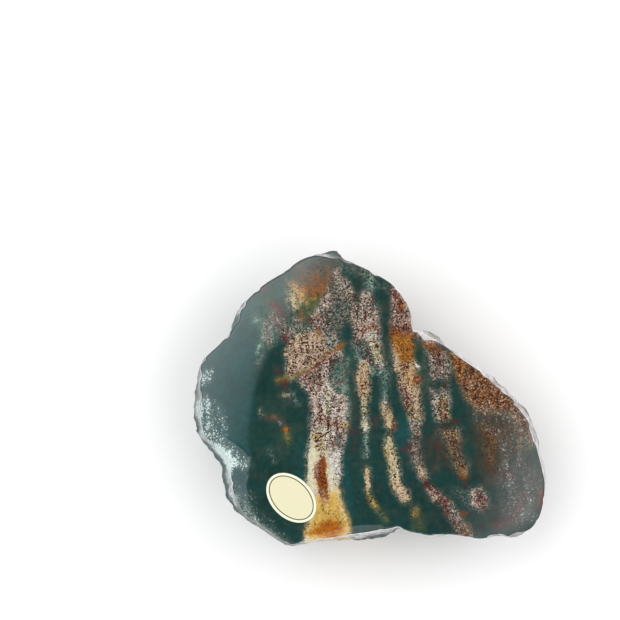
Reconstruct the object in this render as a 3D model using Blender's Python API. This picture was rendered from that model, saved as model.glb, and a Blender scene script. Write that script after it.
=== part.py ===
"""A rough piece of bloodstone with one polished face, and the oval paper sticker on that face.

Lengths are in millimetres up to the last step, where MM turns them into Blender's metres. +Z is up, and the
stone lies on its broken back with the polished face up. The origin is under the middle of its outline.
"""

import math

import bmesh
import bpy
from mathutils import Matrix, Vector, noise

MM = 0.001

# The stone
THICKNESS = 25.0
# Each row is a corner of the outline seen from above, anticlockwise: x, y, and how far inside it the polish ends.
OUTLINE = (
    (-9.5, 30.9, 1.4), (-12.2, 29.7, 0.1), (-14.9, 28.5, 0.1), (-17.7, 26.4, 0.1), (-21.9, 23.8, 0.1),
    (-25.5, 20.7, 0.2), (-26.8, 19.6, 0.6), (-28.7, 16.2, 1.0), (-29.2, 14.9, 0.8), (-29.1, 13.9, 0.2),
    (-31.5, 11.1, 0.1), (-35.2, 7.3, 0.2), (-36.3, 3.1, 1.0), (-37.0, -2.9, 1.7), (-36.5, -6.7, 1.7),
    (-36.0, -8.3, 1.7), (-34.5, -10.2, 2.1), (-31.8, -13.8, 2.5), (-31.2, -15.8, 2.3), (-30.1, -21.2, 2.1),
    (-29.0, -23.1, 2.1), (-27.6, -24.4, 1.9), (-23.2, -26.9, 1.5), (-18.4, -29.8, 0.8), (-16.7, -31.1, 0.7),
    (-15.1, -31.2, 0.9), (-13.4, -30.9, 0.8), (-11.5, -30.3, 0.6), (-4.5, -30.3, 1.7), (2.6, -29.5, 1.9),
    (4.7, -28.7, 1.5), (6.3, -27.5, 0.6), (7.6, -28.0, 0.4), (12.6, -29.0, 0.3), (15.3, -29.1, 0.3),
    (16.3, -28.7, 0.2), (18.8, -28.9, 0.2), (23.4, -29.6, 0.2), (27.2, -29.0, 0.4), (30.3, -29.5, 0.8),
    (32.1, -28.9, 1.7), (33.8, -27.8, 0.6), (35.3, -25.8, 0.2), (36.2, -23.5, 0.2), (37.0, -18.3, 0.4),
    (36.9, -15.6, 0.8), (35.8, -9.8, 1.2), (34.1, -5.0, 1.0), (33.3, -2.9, 1.7), (32.1, -1.4, 1.5),
    (30.8, -0.4, 0.8), (27.1, 3.5, 1.5), (25.3, 4.9, 1.0), (20.5, 8.0, 0.4), (16.1, 11.0, 0.3),
    (14.7, 12.7, 1.2), (13.4, 13.8, 1.9), (12.0, 14.2, 1.8), (10.5, 14.1, 0.6), (9.5, 14.2, 0.2),
    (8.3, 18.7, 0.1), (5.7, 22.9, 0.1), (1.4, 25.9, 0.1), (-3.6, 28.4, 0.3), (-5.4, 29.2, 0.6),
    (-6.8, 30.7, 1.5), (-8.2, 31.1, 1.6),
)
MIDDLE = Vector((0.0, -2.0))  # every corner of the outline is in sight from here
HEART = Vector((MIDDLE.x, MIDDLE.y, 14.0))  # and every point of the broken sides from here
BEYOND = 60.0  # further from the middle than any point of the stone

# The polished face: a very shallow pillow with a softened edge
PILLOW_HALF_SIZE = Vector((37.0, 31.0))
PILLOW_DROP = 1.1
EDGE_ROUND = 0.7
EDGE_DROP = 0.45
SOFT_EDGE = (0.3, 0.25)  # the shares of the rounding and of its drop that are left at a ring halfway round the edge
LEAST_RIM = 0.05
GIRTH_SLOPE = 1.6  # how far the side goes down for each millimetre that it comes out below the edge
GIRTH_DROP = 1.0
RELAX_DEPTH = 10.0  # below the girth the small teeth of the outline die out over this depth
RELAX_TURN = math.radians(5.5)

# The worn shoulder on the left, which the polishing wheel missed: azimuth, drop and width
SHOULDER_AZIMUTH = math.radians(200.0)
SHOULDER_SPREAD = math.radians(48.0)
SHOULDER_DROP = 1.7
SHOULDER_WIDTH = 6.5
SHOULDER_END_WIDTH = 2.3

# Breaks that shaped the sides and the back: azimuth and undercut in degrees, and how far below the face each starts
BREAKS = (
    (134.0, 9.0, 3.0), (47.0, 6.0, 4.0), (53.0, 17.0, 4.5), (12.0, 13.0, 4.0), (326.0, 22.0, 5.0),
    (271.0, 8.0, 5.5), (236.0, 14.0, 4.5), (205.0, 9.0, 6.5), (168.0, 19.0, 5.0), (92.0, 24.0, 5.5),
    (22.0, 38.0, 8.5), (74.0, 33.0, 9.5), (120.0, 61.0, 17.5), (152.0, 29.0, 10.0), (200.0, 47.0, 13.0),
    (238.0, 60.0, 16.5), (262.0, 25.0, 11.0), (301.0, 51.0, 12.5), (337.0, 57.0, 14.5), (58.0, 69.0, 18.5),
    (184.0, 72.0, 19.5),
)
# Shell-shaped scars in the sides: azimuth in degrees, height of the centre, radius, and depth
SCARS = (
    (56.0, 8.0, 16.0, 2.6), (192.0, 10.0, 11.0, 2.4), (286.0, 10.0, 15.0, 2.6), (342.0, 9.0, 12.0, 2.0),
    (141.0, 11.0, 14.0, 2.4), (240.0, 12.0, 9.0, 1.8), (16.0, 15.0, 9.0, 1.4), (108.0, 9.0, 12.0, 2.6),
)
SCAR_FADE = 3.0
BREAK_SOFTNESS = 0.006
ROUGHNESS = 0.014
ROUGHNESS_GRAIN = 0.16

# The net of the stone: columns round it, and rings from the middle of the face down to the middle of the foot
COLUMNS = 168
FACE_RINGS = (0.0, 0.4, 0.7, 0.88, 1.0)  # shares of the way from the middle to the rounded edge
SIDE_RINGS = 13
FOOT_RINGS = 2
OUTLINE_STEPS = 12  # points worked out between two corners of the outline
SIDE_STEPS = 48  # and down one column of the side
FOOT_HALVINGS = 20

# The sticker
LABEL_CENTRE = Vector((-16.3, -20.8))
LABEL_SIZE = Vector((12.0, 8.5))
LABEL_TURN = math.radians(-45.0)
LABEL_PAPER = 0.15
LABEL_GAP = 0.1
LABEL_COLUMNS = 64
LABEL_RINGS = (0.0, 0.4, 0.75, 1.0)

# Finishes
SHARP_FROM = math.radians(30.0)
STONE_COLOUR = (0.045, 0.095, 0.085)
STONE_ROUGHNESS = 0.25
PAPER_COLOUR = (0.86, 0.82, 0.58)
PAPER_ROUGHNESS = 0.6


def clear_scene():
    for thing in list(bpy.data.objects):
        bpy.data.objects.remove(thing, do_unlink=True)


def ease(share):
    """0 to 1 with level ends."""
    share = max(0.0, min(1.0, share))
    return share * share * (3.0 - 2.0 * share)


def lesser(a, b, softness):
    """The lesser of two values, with the corner between them rounded."""
    blend = max(softness - abs(a - b), 0.0) / softness
    return min(a, b) - blend * blend * softness / 4.0


def curve_between(before, start, end, after, share):
    """A point between start and end on the smooth curve through four corners that may be unevenly spaced."""
    t1 = math.sqrt((start - before).xy.length)
    t2 = t1 + math.sqrt((end - start).xy.length)
    t3 = t2 + math.sqrt((after - end).xy.length)
    t = t1 + (t2 - t1) * share
    a = before.lerp(start, t / t1)
    b = start.lerp(end, (t - t1) / (t2 - t1))
    c = end.lerp(after, (t - t2) / (t3 - t2))
    return a.lerp(b, t / t2).lerp(b.lerp(c, (t - t1) / (t3 - t1)), (t - t1) / (t2 - t1))


def even_steps(line, count):
    """count + 1 points at even steps along a line of points, the first and the last among them."""
    lengths = [0.0]
    for a, b in zip(line, line[1:]):
        lengths.append(lengths[-1] + (b - a).length)
    points = []
    piece = 0
    for i in range(count):
        along = lengths[-1] * i / count
        while lengths[piece + 1] <= along:
            piece += 1
        share = (along - lengths[piece]) / (lengths[piece + 1] - lengths[piece])
        points.append(line[piece].lerp(line[piece + 1], share))
    return [*points, line[-1]]


def outline_points(count):
    """count points (x, y, rim) at even steps along the closed outline."""
    corners = [Vector(corner) for corner in OUTLINE]
    line = []
    for i in range(len(corners)):
        four = [corners[(i + step) % len(corners)] for step in (-1, 0, 1, 2)]
        line += [curve_between(*four, part / OUTLINE_STEPS) for part in range(OUTLINE_STEPS)]
    return even_steps([*line, line[0]], count)[:-1]


def relaxed_lengths(outline):
    """How far out the side stands in each direction once the small teeth of the outline have died out."""
    offsets = [corner.xy - MIDDLE for corner in outline]
    turns = [math.atan2(offset.y, offset.x) for offset in offsets]

    def near(values, i):
        return [v for v, turn in zip(values, turns) if abs(math.remainder(turn - turns[i], math.tau)) < RELAX_TURN]

    lengths = [offset.length for offset in offsets]
    lowest = [min(near(lengths, i)) for i in range(len(lengths))]
    return [sum(near(lowest, i)) / len(near(lowest, i)) for i in range(len(lengths))]


def face_height(x, y):
    """Height of the polished face, as if it had no edge."""
    bulge = (x / PILLOW_HALF_SIZE.x) ** 2 + (y / PILLOW_HALF_SIZE.y) ** 2
    return THICKNESS - PILLOW_DROP * bulge * bulge


def shoulder_drop(x, y, from_edge):
    """How far the worn shoulder lies below the polished face."""
    turn = math.remainder(math.atan2(y - MIDDLE.y, x - MIDDLE.x) - SHOULDER_AZIMUTH, math.tau)
    nearness = ease(1.0 - abs(turn) / SHOULDER_SPREAD)
    width = SHOULDER_END_WIDTH + (SHOULDER_WIDTH - SHOULDER_END_WIDTH) * nearness
    return SHOULDER_DROP * nearness * ease(1.0 - from_edge / width)


def break_planes(outline):
    """Each break as a plane: its outward normal, and how far out it lies along that."""
    planes = []
    for azimuth, undercut, below_face in BREAKS:
        turn, tilt = math.radians(azimuth), math.radians(undercut)
        normal = Vector((math.cos(turn) * math.cos(tilt), math.sin(turn) * math.cos(tilt), -math.sin(tilt)))
        start = THICKNESS - below_face
        planes.append((normal, max(normal.dot(Vector((p.x, p.y, start))) for p in outline)))
    return planes


def met_plane(way, planes, grain):
    """The share of the way from the heart at which the first break is met, or 1 where none is."""
    share = 1.0
    for normal, reach in planes:
        slope = normal.dot(way)
        if slope > 0.0:
            share = lesser(share, (reach - normal.dot(HEART)) / slope * (1.0 + grain), BREAK_SOFTNESS)
    return share


def scar_dishes(planes):
    """Each scar as a dish in the side: its centre, radius and depth."""
    dishes = []
    for azimuth, height, radius, depth in SCARS:
        turn = math.radians(azimuth)
        way = Vector((math.cos(turn) * BEYOND, math.sin(turn) * BEYOND, height - HEART.z))
        dishes.append((HEART + way * met_plane(way, planes, 0.0), radius, depth))
    return dishes


def broken_point(target, below_girth, planes, dishes):
    """The point that the breaks and scars leave on the way from the heart to target."""
    way = target - HEART
    grain = noise.noise(target * ROUGHNESS_GRAIN) * ROUGHNESS
    point = HEART + way * met_plane(way, planes, grain)
    depths = [depth * (1.0 - ((point - centre).length / radius) ** 2) for centre, radius, depth in dishes]
    dent = max(0.0, *depths) * ease(point.z / SCAR_FADE) * ease(below_girth / SCAR_FADE)
    return point - way.normalized() * dent


def edge_points(corner):
    """From the middle of the face out to the girth, along one column."""
    rim = max(corner.z, LEAST_RIM)
    length = (corner.xy - MIDDLE).length
    outward = (corner.xy - MIDDLE) / length

    def on_face(inset, drop):
        x, y = MIDDLE + outward * (length - inset)
        return Vector((x, y, face_height(x, y) - shoulder_drop(x, y, inset - rim) - drop))

    polished = length - rim - EDGE_ROUND
    girth_drop = GIRTH_DROP + GIRTH_SLOPE * rim
    points = [on_face(length - polished * share, 0.0) for share in FACE_RINGS]
    points += [on_face(rim + EDGE_ROUND * SOFT_EDGE[0], EDGE_DROP * SOFT_EDGE[1]), on_face(rim, EDGE_DROP)]
    return points + [on_face(rim / 2.0, (EDGE_DROP + girth_drop) / 2.0), on_face(0.0, girth_drop)]


def side_points(girth, relaxed, planes, dishes):
    """From the girth down the broken side to the edge of the flat foot, along one column."""
    outward = (girth.xy - MIDDLE).normalized()
    out = (girth.xy - MIDDLE).length

    def uncut(way):
        """A point of the block before it broke: way runs from 0 to 1 down its side, and on to 2 in underneath."""
        below = min(way, 1.0) * girth.z
        length = (out + (relaxed - out) * ease(below / RELAX_DEPTH)) * min(1.0, 2.0 - way)
        return Vector((*(MIDDLE + outward * length), girth.z - below))

    least, most = 1.0, 2.0
    for _ in range(FOOT_HALVINGS):
        middle = (least + most) / 2.0
        if met_plane(uncut(middle) - HEART, planes, 0.0) < 1.0:
            least = middle
        else:
            most = middle
    line = []
    for step in range(1, SIDE_STEPS):
        target = uncut(most * step / SIDE_STEPS)
        line.append(broken_point(target, girth.z - target.z, planes, dishes))
    return even_steps([girth, *line, uncut(most)], SIDE_RINGS)[1:]


def stone_columns():
    """For each column of the net, its points from the middle of the face to the middle of the back."""
    outline = outline_points(COLUMNS)
    planes = break_planes(outline)
    dishes = scar_dishes(planes)
    columns = []
    for corner, relaxed in zip(outline, relaxed_lengths(outline)):
        points = edge_points(corner)
        points += side_points(points[-1], relaxed, planes, dishes)
        centre = Vector((*MIDDLE, 0.0))
        columns.append(points + [points[-1].lerp(centre, ring / FOOT_RINGS) for ring in range(1, FOOT_RINGS + 1)])
    return columns


def label_columns():
    """For each column of the sticker's net, its points over the top and back underneath."""
    along_label = Matrix.Rotation(LABEL_TURN, 2)
    columns = []
    for i in range(LABEL_COLUMNS):
        turn = math.tau * i / LABEL_COLUMNS
        reach = Vector((math.cos(turn) * LABEL_SIZE.x / 2.0, math.sin(turn) * LABEL_SIZE.y / 2.0))
        spots = [LABEL_CENTRE + along_label @ reach * share for share in LABEL_RINGS]
        low = [Vector((x, y, face_height(x, y) + LABEL_GAP)) for x, y in spots]
        columns.append([point + Vector((0.0, 0.0, LABEL_PAPER)) for point in low] + low[::-1])
    return columns


def globe_mesh(name, columns):
    """A closed skin with the net of a globe, each knot moved to its place in columns."""
    rows = len(columns[0]) - 1
    net = bmesh.new()
    bmesh.ops.create_uvsphere(net, u_segments=len(columns), v_segments=rows, radius=1.0)
    for knot in net.verts:
        row = round(math.acos(max(-1.0, min(1.0, knot.co.z))) / math.pi * rows)
        column = round(math.atan2(knot.co.y, knot.co.x) / math.tau * len(columns)) % len(columns)
        knot.co = columns[column][row] * MM
    mesh = bpy.data.meshes.new(name)
    net.to_mesh(mesh)
    net.free()
    mesh.shade_smooth()
    mesh.set_sharp_from_angle(angle=SHARP_FROM)
    return mesh


def plain_material(name, colour, roughness):
    material = bpy.data.materials.new(name)
    material.use_nodes = True
    shader = material.node_tree.nodes["Principled BSDF"]
    shader.inputs["Base Color"].default_value = (*colour, 1.0)
    shader.inputs["Roughness"].default_value = roughness
    shader.inputs["Metallic"].default_value = 0.0
    return material


def add_piece(collection, name, columns, material):
    mesh = globe_mesh(name, columns)
    mesh.materials.append(material)
    collection.objects.link(bpy.data.objects.new(name, mesh))


def main():
    clear_scene()
    collection = bpy.data.collections.new("Bloodstone")
    bpy.context.scene.collection.children.link(collection)
    add_piece(collection, "stone", stone_columns(), plain_material("stone", STONE_COLOUR, STONE_ROUGHNESS))
    add_piece(collection, "label", label_columns(), plain_material("label", PAPER_COLOUR, PAPER_ROUGHNESS))


main()
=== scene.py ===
"""The looks of a rough piece of bloodstone with one polished face and an oval paper sticker on it.

It is laid out as an add-on with one operator for each piece and one for the stage, and is run as a script.
Lengths are in millimetres up to the point where MM turns them into Blender's metres, and settings that a user
changes are in metres. +Z is up, out of the polished face.
"""

import math

import bmesh
import bpy
import numpy as np
from mathutils import Matrix, Vector, noise


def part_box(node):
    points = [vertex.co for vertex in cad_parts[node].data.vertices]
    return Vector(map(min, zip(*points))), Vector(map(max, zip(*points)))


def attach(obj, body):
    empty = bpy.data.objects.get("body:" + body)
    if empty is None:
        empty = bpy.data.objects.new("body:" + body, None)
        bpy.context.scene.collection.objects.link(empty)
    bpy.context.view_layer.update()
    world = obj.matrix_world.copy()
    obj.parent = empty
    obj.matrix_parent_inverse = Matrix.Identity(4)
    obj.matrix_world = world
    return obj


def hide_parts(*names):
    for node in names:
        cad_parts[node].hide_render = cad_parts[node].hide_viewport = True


bl_info = {
    "name": "Bloodstone specimen",
    "version": (1, 0, 0),
    "blender": (4, 5, 0),
    "location": "3D View > Sidebar > Bloodstone",
    "description": "Builds a rough piece of bloodstone, polished on one face, its paper sticker and a stage",
    "category": "Add Mesh",
}

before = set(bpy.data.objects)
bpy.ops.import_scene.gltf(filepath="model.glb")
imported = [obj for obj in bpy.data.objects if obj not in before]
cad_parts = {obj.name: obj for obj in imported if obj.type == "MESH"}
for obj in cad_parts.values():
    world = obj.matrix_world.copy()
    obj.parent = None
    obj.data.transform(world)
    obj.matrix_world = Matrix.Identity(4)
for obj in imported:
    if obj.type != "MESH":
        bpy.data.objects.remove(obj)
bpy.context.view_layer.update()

MM = 0.001

# The stone
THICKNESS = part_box("stone")[1].z / MM
# Corners of the outline seen from above, anticlockwise: x, y, and how far inside it the polish ends
OUTLINE = (
    (-9.5, 30.95, 1.5), (-12.2, 29.7, 0.1), (-14.9, 28.5, 0.1), (-17.7, 26.4, 0.1), (-21.9, 23.8, 0.1),
    (-25.5, 20.7, 0.2), (-26.8, 19.6, 0.6), (-28.7, 16.2, 1.0), (-29.2, 14.9, 0.8), (-29.1, 13.9, 0.2),
    (-31.5, 11.1, 0.1), (-35.2, 7.3, 0.2), (-36.3, 3.1, 1.0), (-37.0, -2.9, 1.7), (-36.5, -6.7, 1.7),
    (-36.0, -8.3, 1.7), (-34.5, -10.2, 2.1), (-31.8, -13.8, 2.5), (-31.2, -15.8, 2.3), (-30.1, -21.2, 2.1),
    (-29.0, -23.1, 2.1), (-27.8, -24.6, 1.4), (-23.3, -27.3, 1.0), (-18.7, -30.4, 0.8), (-16.9, -31.2, 0.7),
    (-15.1, -31.2, 0.9), (-13.4, -30.9, 0.8), (-11.5, -30.3, 0.6), (-4.5, -30.3, 1.7), (2.6, -29.5, 1.9),
    (4.7, -28.7, 1.5), (6.3, -27.5, 0.6), (7.6, -28.0, 0.4), (12.6, -29.0, 0.3), (15.3, -29.1, 0.3),
    (16.3, -28.7, 0.2), (18.8, -28.9, 0.2), (23.4, -29.6, 0.2), (27.2, -29.0, 0.4), (30.3, -29.5, 0.8),
    (32.1, -28.9, 1.0), (33.8, -27.8, 0.4), (35.3, -25.8, 0.2), (36.2, -23.5, 0.2), (37.0, -18.3, 0.4),
    (36.9, -15.6, 0.8), (35.8, -9.8, 1.2), (34.1, -5.0, 1.0), (33.3, -2.9, 1.7), (32.1, -1.4, 1.5),
    (30.8, -0.4, 0.8), (27.1, 3.5, 1.5), (25.3, 4.9, 1.0), (20.5, 8.0, 0.7), (16.1, 11.0, 0.4),
    (14.7, 12.7, 1.2), (13.4, 13.8, 1.9), (12.0, 14.2, 1.8), (10.5, 14.1, 0.6), (9.5, 14.2, 0.2),
    (8.3, 18.7, 0.1), (5.7, 22.9, 0.1), (1.4, 25.9, 0.1), (-3.6, 28.4, 0.3), (-5.4, 29.2, 0.6),
    (-6.8, 30.8, 1.6), (-8.2, 31.15, 1.7),
)
MIDDLE = Vector((0.0, -2.0))  # every corner of the outline is in sight from here
HEART = Vector((MIDDLE.x, MIDDLE.y, 14.0))  # and every point of the broken sides from here
BEYOND = 60.0  # further from the middle than any point of the stone
NOISE_SEED = 20  # without a seed, noise_vector would differ from run to run

# The polished face: a very shallow pillow with a softened edge
PILLOW_HALF_SIZE = Vector((37.0, 31.0))
PILLOW_DROP = 1.1
EDGE_ROUND = 0.4
EDGE_DROP = 0.25
EDGE_ARC = math.radians(60.0)
LEAST_RIM = 0.05
GIRTH_SLOPE = 1.6  # how far the side goes down for each millimetre that it comes out below the edge
GIRTH_DROP = 1.0
RELAX_DEPTH = 10.0  # below the girth the small teeth of the outline die out over this depth
RELAX_TURN = math.radians(5.5)

# Slopes at the edge of the face, which the polishing wheel wore down: azimuth and spread in degrees, drop,
# and width in their middle and at their ends
SHOULDERS = ((201.0, 27.0, 0.9, 4.6, 2.0), (262.0, 21.0, 0.42, 2.0, 1.2))

# Breaks that shaped the sides: azimuth and undercut in degrees, and how far below the face each starts
BREAKS = (
    (134.0, 9.0, 3.0), (47.0, 6.0, 4.0), (53.0, 17.0, 4.5), (12.0, 13.0, 4.0), (326.0, 22.0, 5.0),
    (271.0, 8.0, 5.5), (236.0, 14.0, 4.5), (205.0, 9.0, 6.5), (168.0, 19.0, 5.0), (92.0, 24.0, 5.5),
    (22.0, 38.0, 8.5), (74.0, 33.0, 9.5), (120.0, 61.0, 17.5), (152.0, 29.0, 10.0), (200.0, 47.0, 13.0),
    (238.0, 60.0, 16.5), (262.0, 25.0, 11.0), (301.0, 51.0, 12.5), (337.0, 57.0, 14.5), (58.0, 69.0, 18.5),
    (184.0, 72.0, 19.5),
)
# Shell-shaped scars in the sides: azimuth in degrees, height of the centre, radius, and depth
SCARS = (
    (56.0, 8.0, 16.0, 2.6), (192.0, 10.0, 11.0, 2.4), (286.0, 10.0, 15.0, 2.6), (342.0, 9.0, 12.0, 2.0),
    (141.0, 11.0, 14.0, 2.4), (240.0, 12.0, 9.0, 1.8), (16.0, 15.0, 9.0, 1.4), (108.0, 9.0, 12.0, 2.6),
)
SCAR_FADE = 3.0
RIM_DEPTH = 5.0  # how far below the polished edge the broken sides count as its rim
BREAK_SOFTNESS = 0.006
ROUGHNESS = 0.014
ROUGHNESS_GRAIN = 0.16

# The net of the stone: points round it, and rings from the middle of the face down to the middle of the foot
OUTLINE_STEPS = 12
FACE_RINGS = 110
EDGE_RINGS = 7
RIM_RINGS = 6
SIDE_RINGS = 58
FOOT_RINGS = 6
SIDE_STEPS = 110
FOOT_HALVINGS = 20

# Chips, ripples and grain of the broken sides, all cut into the stone
CHIP_SHIFT = 1.4  # how far the chips' pattern is pushed about, and over what length
CHIP_SHIFT_GRAIN = 0.22
SMALL_CHIPS = 0.34  # the second, smaller set of chips as a share of the first
SMALL_CHIPS_REACH = 1.3  # the small chips are deepest where there are no large ones
SMALL_BRUISE = 0.6
PATCH_GRAIN = 0.11  # chipped patches come and go along the sides
PATCH_SHARE = 0.55
PATCH_CONTRAST = 1.5
RIPPLE_STEP = 1.1
RIPPLE_BEND = 3.0
RIPPLE_BEND_GRAIN = 0.2
GRIT_GRAIN = 0.9
GRIT_LAYERS = (0.7, 2.0, 3)  # how fast its finer layers fade, how much finer each is, and their number
RELIEF_FADE = 0.8
RIM_RELIEF = 0.6  # the relief near the polished edge as a share of that further down
EDGE_NICK = 0.35
EDGE_NICK_GRAIN = 0.5
EDGE_NICK_CONTRAST = 2.2
RIDGE_FROM = 0.8  # how near a chip's edge its bruised ridge starts
FOOT_BRUISE = 0.3
SHARP_FROM = math.radians(40.0)

# The bands are drawn on a sheet laid over the face: its step in millimetres, and its spot over the origin
SHEET_STEP = 0.208
SHEET_ORIGIN = (369.5, 398.0)
# The sheet is pushed about a little, so that no drawn edge stays straight: over what length, and how far
SHEET_SHIFTS = ((7.0, 0.4), (1.7, 0.3), (0.8, 0.2))
BAND_LEAN = (0.35, -0.2)  # how far the bands lean over for each millimetre that they run down into the stone
STREAK_LENGTHS = (0.9, 5.0)  # of the faint streaks in the bands, across and along them
STREAK_DEPTH = 0.3
LEAST_AMOUNT = 1e-6
EDGE_SPREAD = 1.7
SKIRT = 0.45  # how much of a mark's cover fades out over a wider skirt
SKIRT_WIDTH = 9.0

# Tones of the layers that the bands are drawn in. The finish has more colours, at even steps from 0 to 1.
TEAL, DEEP, GREY_GREEN = 0.0, 0.25, 0.5
FRESH, GOLD, AMBER = 0.0, 0.5, 1.0
MINT, DUSK, ROSE, WHITE, CREAM, STRAW, BEIGE = 0.0, 0.17, 0.33, 0.5, 0.67, 0.83, 1.0
OCHRE, RUST, BLOOD = 0.0, 0.66, 1.0
BLACK, MAROON = 0.0, 1.0

UPPER_FIELD = (
    (336, 269), (341, 275), (350, 283), (352, 292), (349, 300), (345, 312), (340, 332), (330, 335),
    (303, 332), (309, 322), (315, 312), (322, 302), (326, 288), (332, 278),
)
BEIGE_FIELD = (
    (289, 343), (297, 336), (303, 333), (317, 333), (323, 338), (328, 346), (331, 350), (318, 359),
    (308, 367), (297, 372), (290, 378), (288, 370), (286, 358), (285, 352),
)
MIDDLE_FIELD = (
    (331, 352), (340, 352), (341, 360), (332, 372), (327, 385), (333, 393), (346, 397), (346, 426),
    (340, 450), (318, 455), (312, 440), (312, 425), (313, 412), (312, 402), (309, 392), (301, 383),
    (301, 377), (312, 367), (322, 360),
)
LOWER_FIELD = (
    (313, 430), (309, 445), (306, 455), (308, 470), (306, 485), (308, 500), (309, 515), (310, 525),
    (306, 534), (304, 546), (343, 546), (349, 533), (346, 520), (341, 505), (338, 490), (338, 478),
    (340, 462), (342, 450), (343, 432), (330, 425),
)
RUSTY_FIELD = (
    (451, 353), (459, 350), (470, 359), (490, 375), (515, 396), (524, 412), (529, 430), (518, 424),
    (508, 413), (480, 412), (470, 402), (463, 390), (457, 378), (453, 366),
)
OLIVE_FIELD = ((474, 408), (500, 412), (522, 424), (514, 450), (503, 474), (488, 484), (480, 460), (476, 430))
GREY_FIELD = ((500, 440), (530, 436), (542, 480), (538, 520), (505, 528), (498, 480))

# Each layer's marks, a patch or streak a row: tone, amount, width of its soft edge, then its corners (across,
# down) or, for a streak, its points (across, down, half width). Bare places and frost have no tone. Later
# rows lie over earlier ones.

# Base greens
GROUND = (
    (0.08, 1.0, 6, (
        (190, 350), (230, 300), (262, 300), (262, 340), (256, 380), (251, 420), (248, 470), (246, 500),
        (190, 500),
    )),
    (0.32, 0.5, 12, ((262, 370), (285, 380), (300, 420), (290, 460), (262, 460), (256, 420))),
    (TEAL, 0.7, 6, ((405, 424, 8), (401, 442, 8))),
    (TEAL, 0.6, 4, ((347, 436, 4), (345, 460, 4), (346, 490, 4), (351, 515, 4))),
    (TEAL, 0.5, 5, ((303, 440, 4), (300, 470, 5), (299, 500, 4))),
    (0.1, 0.5, 3, ((341, 264), (349, 266), (350, 278), (342, 276))),
    (GREY_GREEN, 0.3, 4, ((386, 290, 5), (387, 330, 5), (389, 362, 5))),
    (GREY_GREEN, 0.5, 5, ((358, 266, 7), (358, 296, 6))),
    (GREY_GREEN, 0.4, 5, ((421, 340, 6), (424, 370, 7), (428, 395, 6))),
    (GREY_GREEN, 0.7, 16, GREY_FIELD),
    (0.6, 0.3, 12, ((425, 437), (456, 432), (462, 470), (440, 470))),
    (0.76, 0.7, 12, OLIVE_FIELD),
    (0.62, 0.5, 8, ((500, 500), (530, 515), (520, 532), (470, 528))),
    (0.62, 0.35, 6, ((425, 518, 5), (446, 527, 5))),
)

# Soft stains without grains
MIST = (
    (FRESH, 0.5, 14, ((252, 300), (282, 290), (292, 330), (262, 345), (250, 330))),
    (0.8, 0.4, 12, ((296, 264), (334, 262), (330, 290), (300, 290))),
    (AMBER, 0.6, 5, ((302, 287), (328, 277), (327, 290), (316, 297), (305, 296))),
    (0.25, 0.6, 5, ((300, 298), (320, 297), (314, 312), (303, 322), (298, 312))),
    (GOLD, 0.8, 1.5, ((276, 379, 1.5), (290, 378, 2), (301, 375, 1), (320, 362, 1), (345, 343, 1))),
    (FRESH, 0.5, 6, ((336, 354), (349, 352), (353, 400), (346, 440), (338, 400))),
    (FRESH, 0.1, 14, ((258, 396), (300, 392), (304, 440), (284, 470), (258, 450))),
    (0.1, 0.12, 6, ((417, 338), (428, 345), (431, 395), (420, 400), (416, 360))),
    (FRESH, 0.4, 6, ((384, 372, 3), (385, 402, 3.5))),
    (FRESH, 0.25, 4, ((420, 342, 2), (422, 355, 3), (425, 385, 3))),
    (0.2, 0.8, 2.5, ((375, 507, 2), (380, 513, 3), (385, 521, 2.5))),
    (0.4, 0.28, 3, ((411, 511), (418, 508), (423, 516), (425, 531), (412, 531))),
    (0.85, 0.6, 3, ((462, 469, 2.5), (463, 475, 3.5))),
    (0.8, 0.08, 14, OLIVE_FIELD),
    (0.42, 0.7, 2, ((286, 431, 1.5), (287, 442, 2.5))),
)

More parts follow.
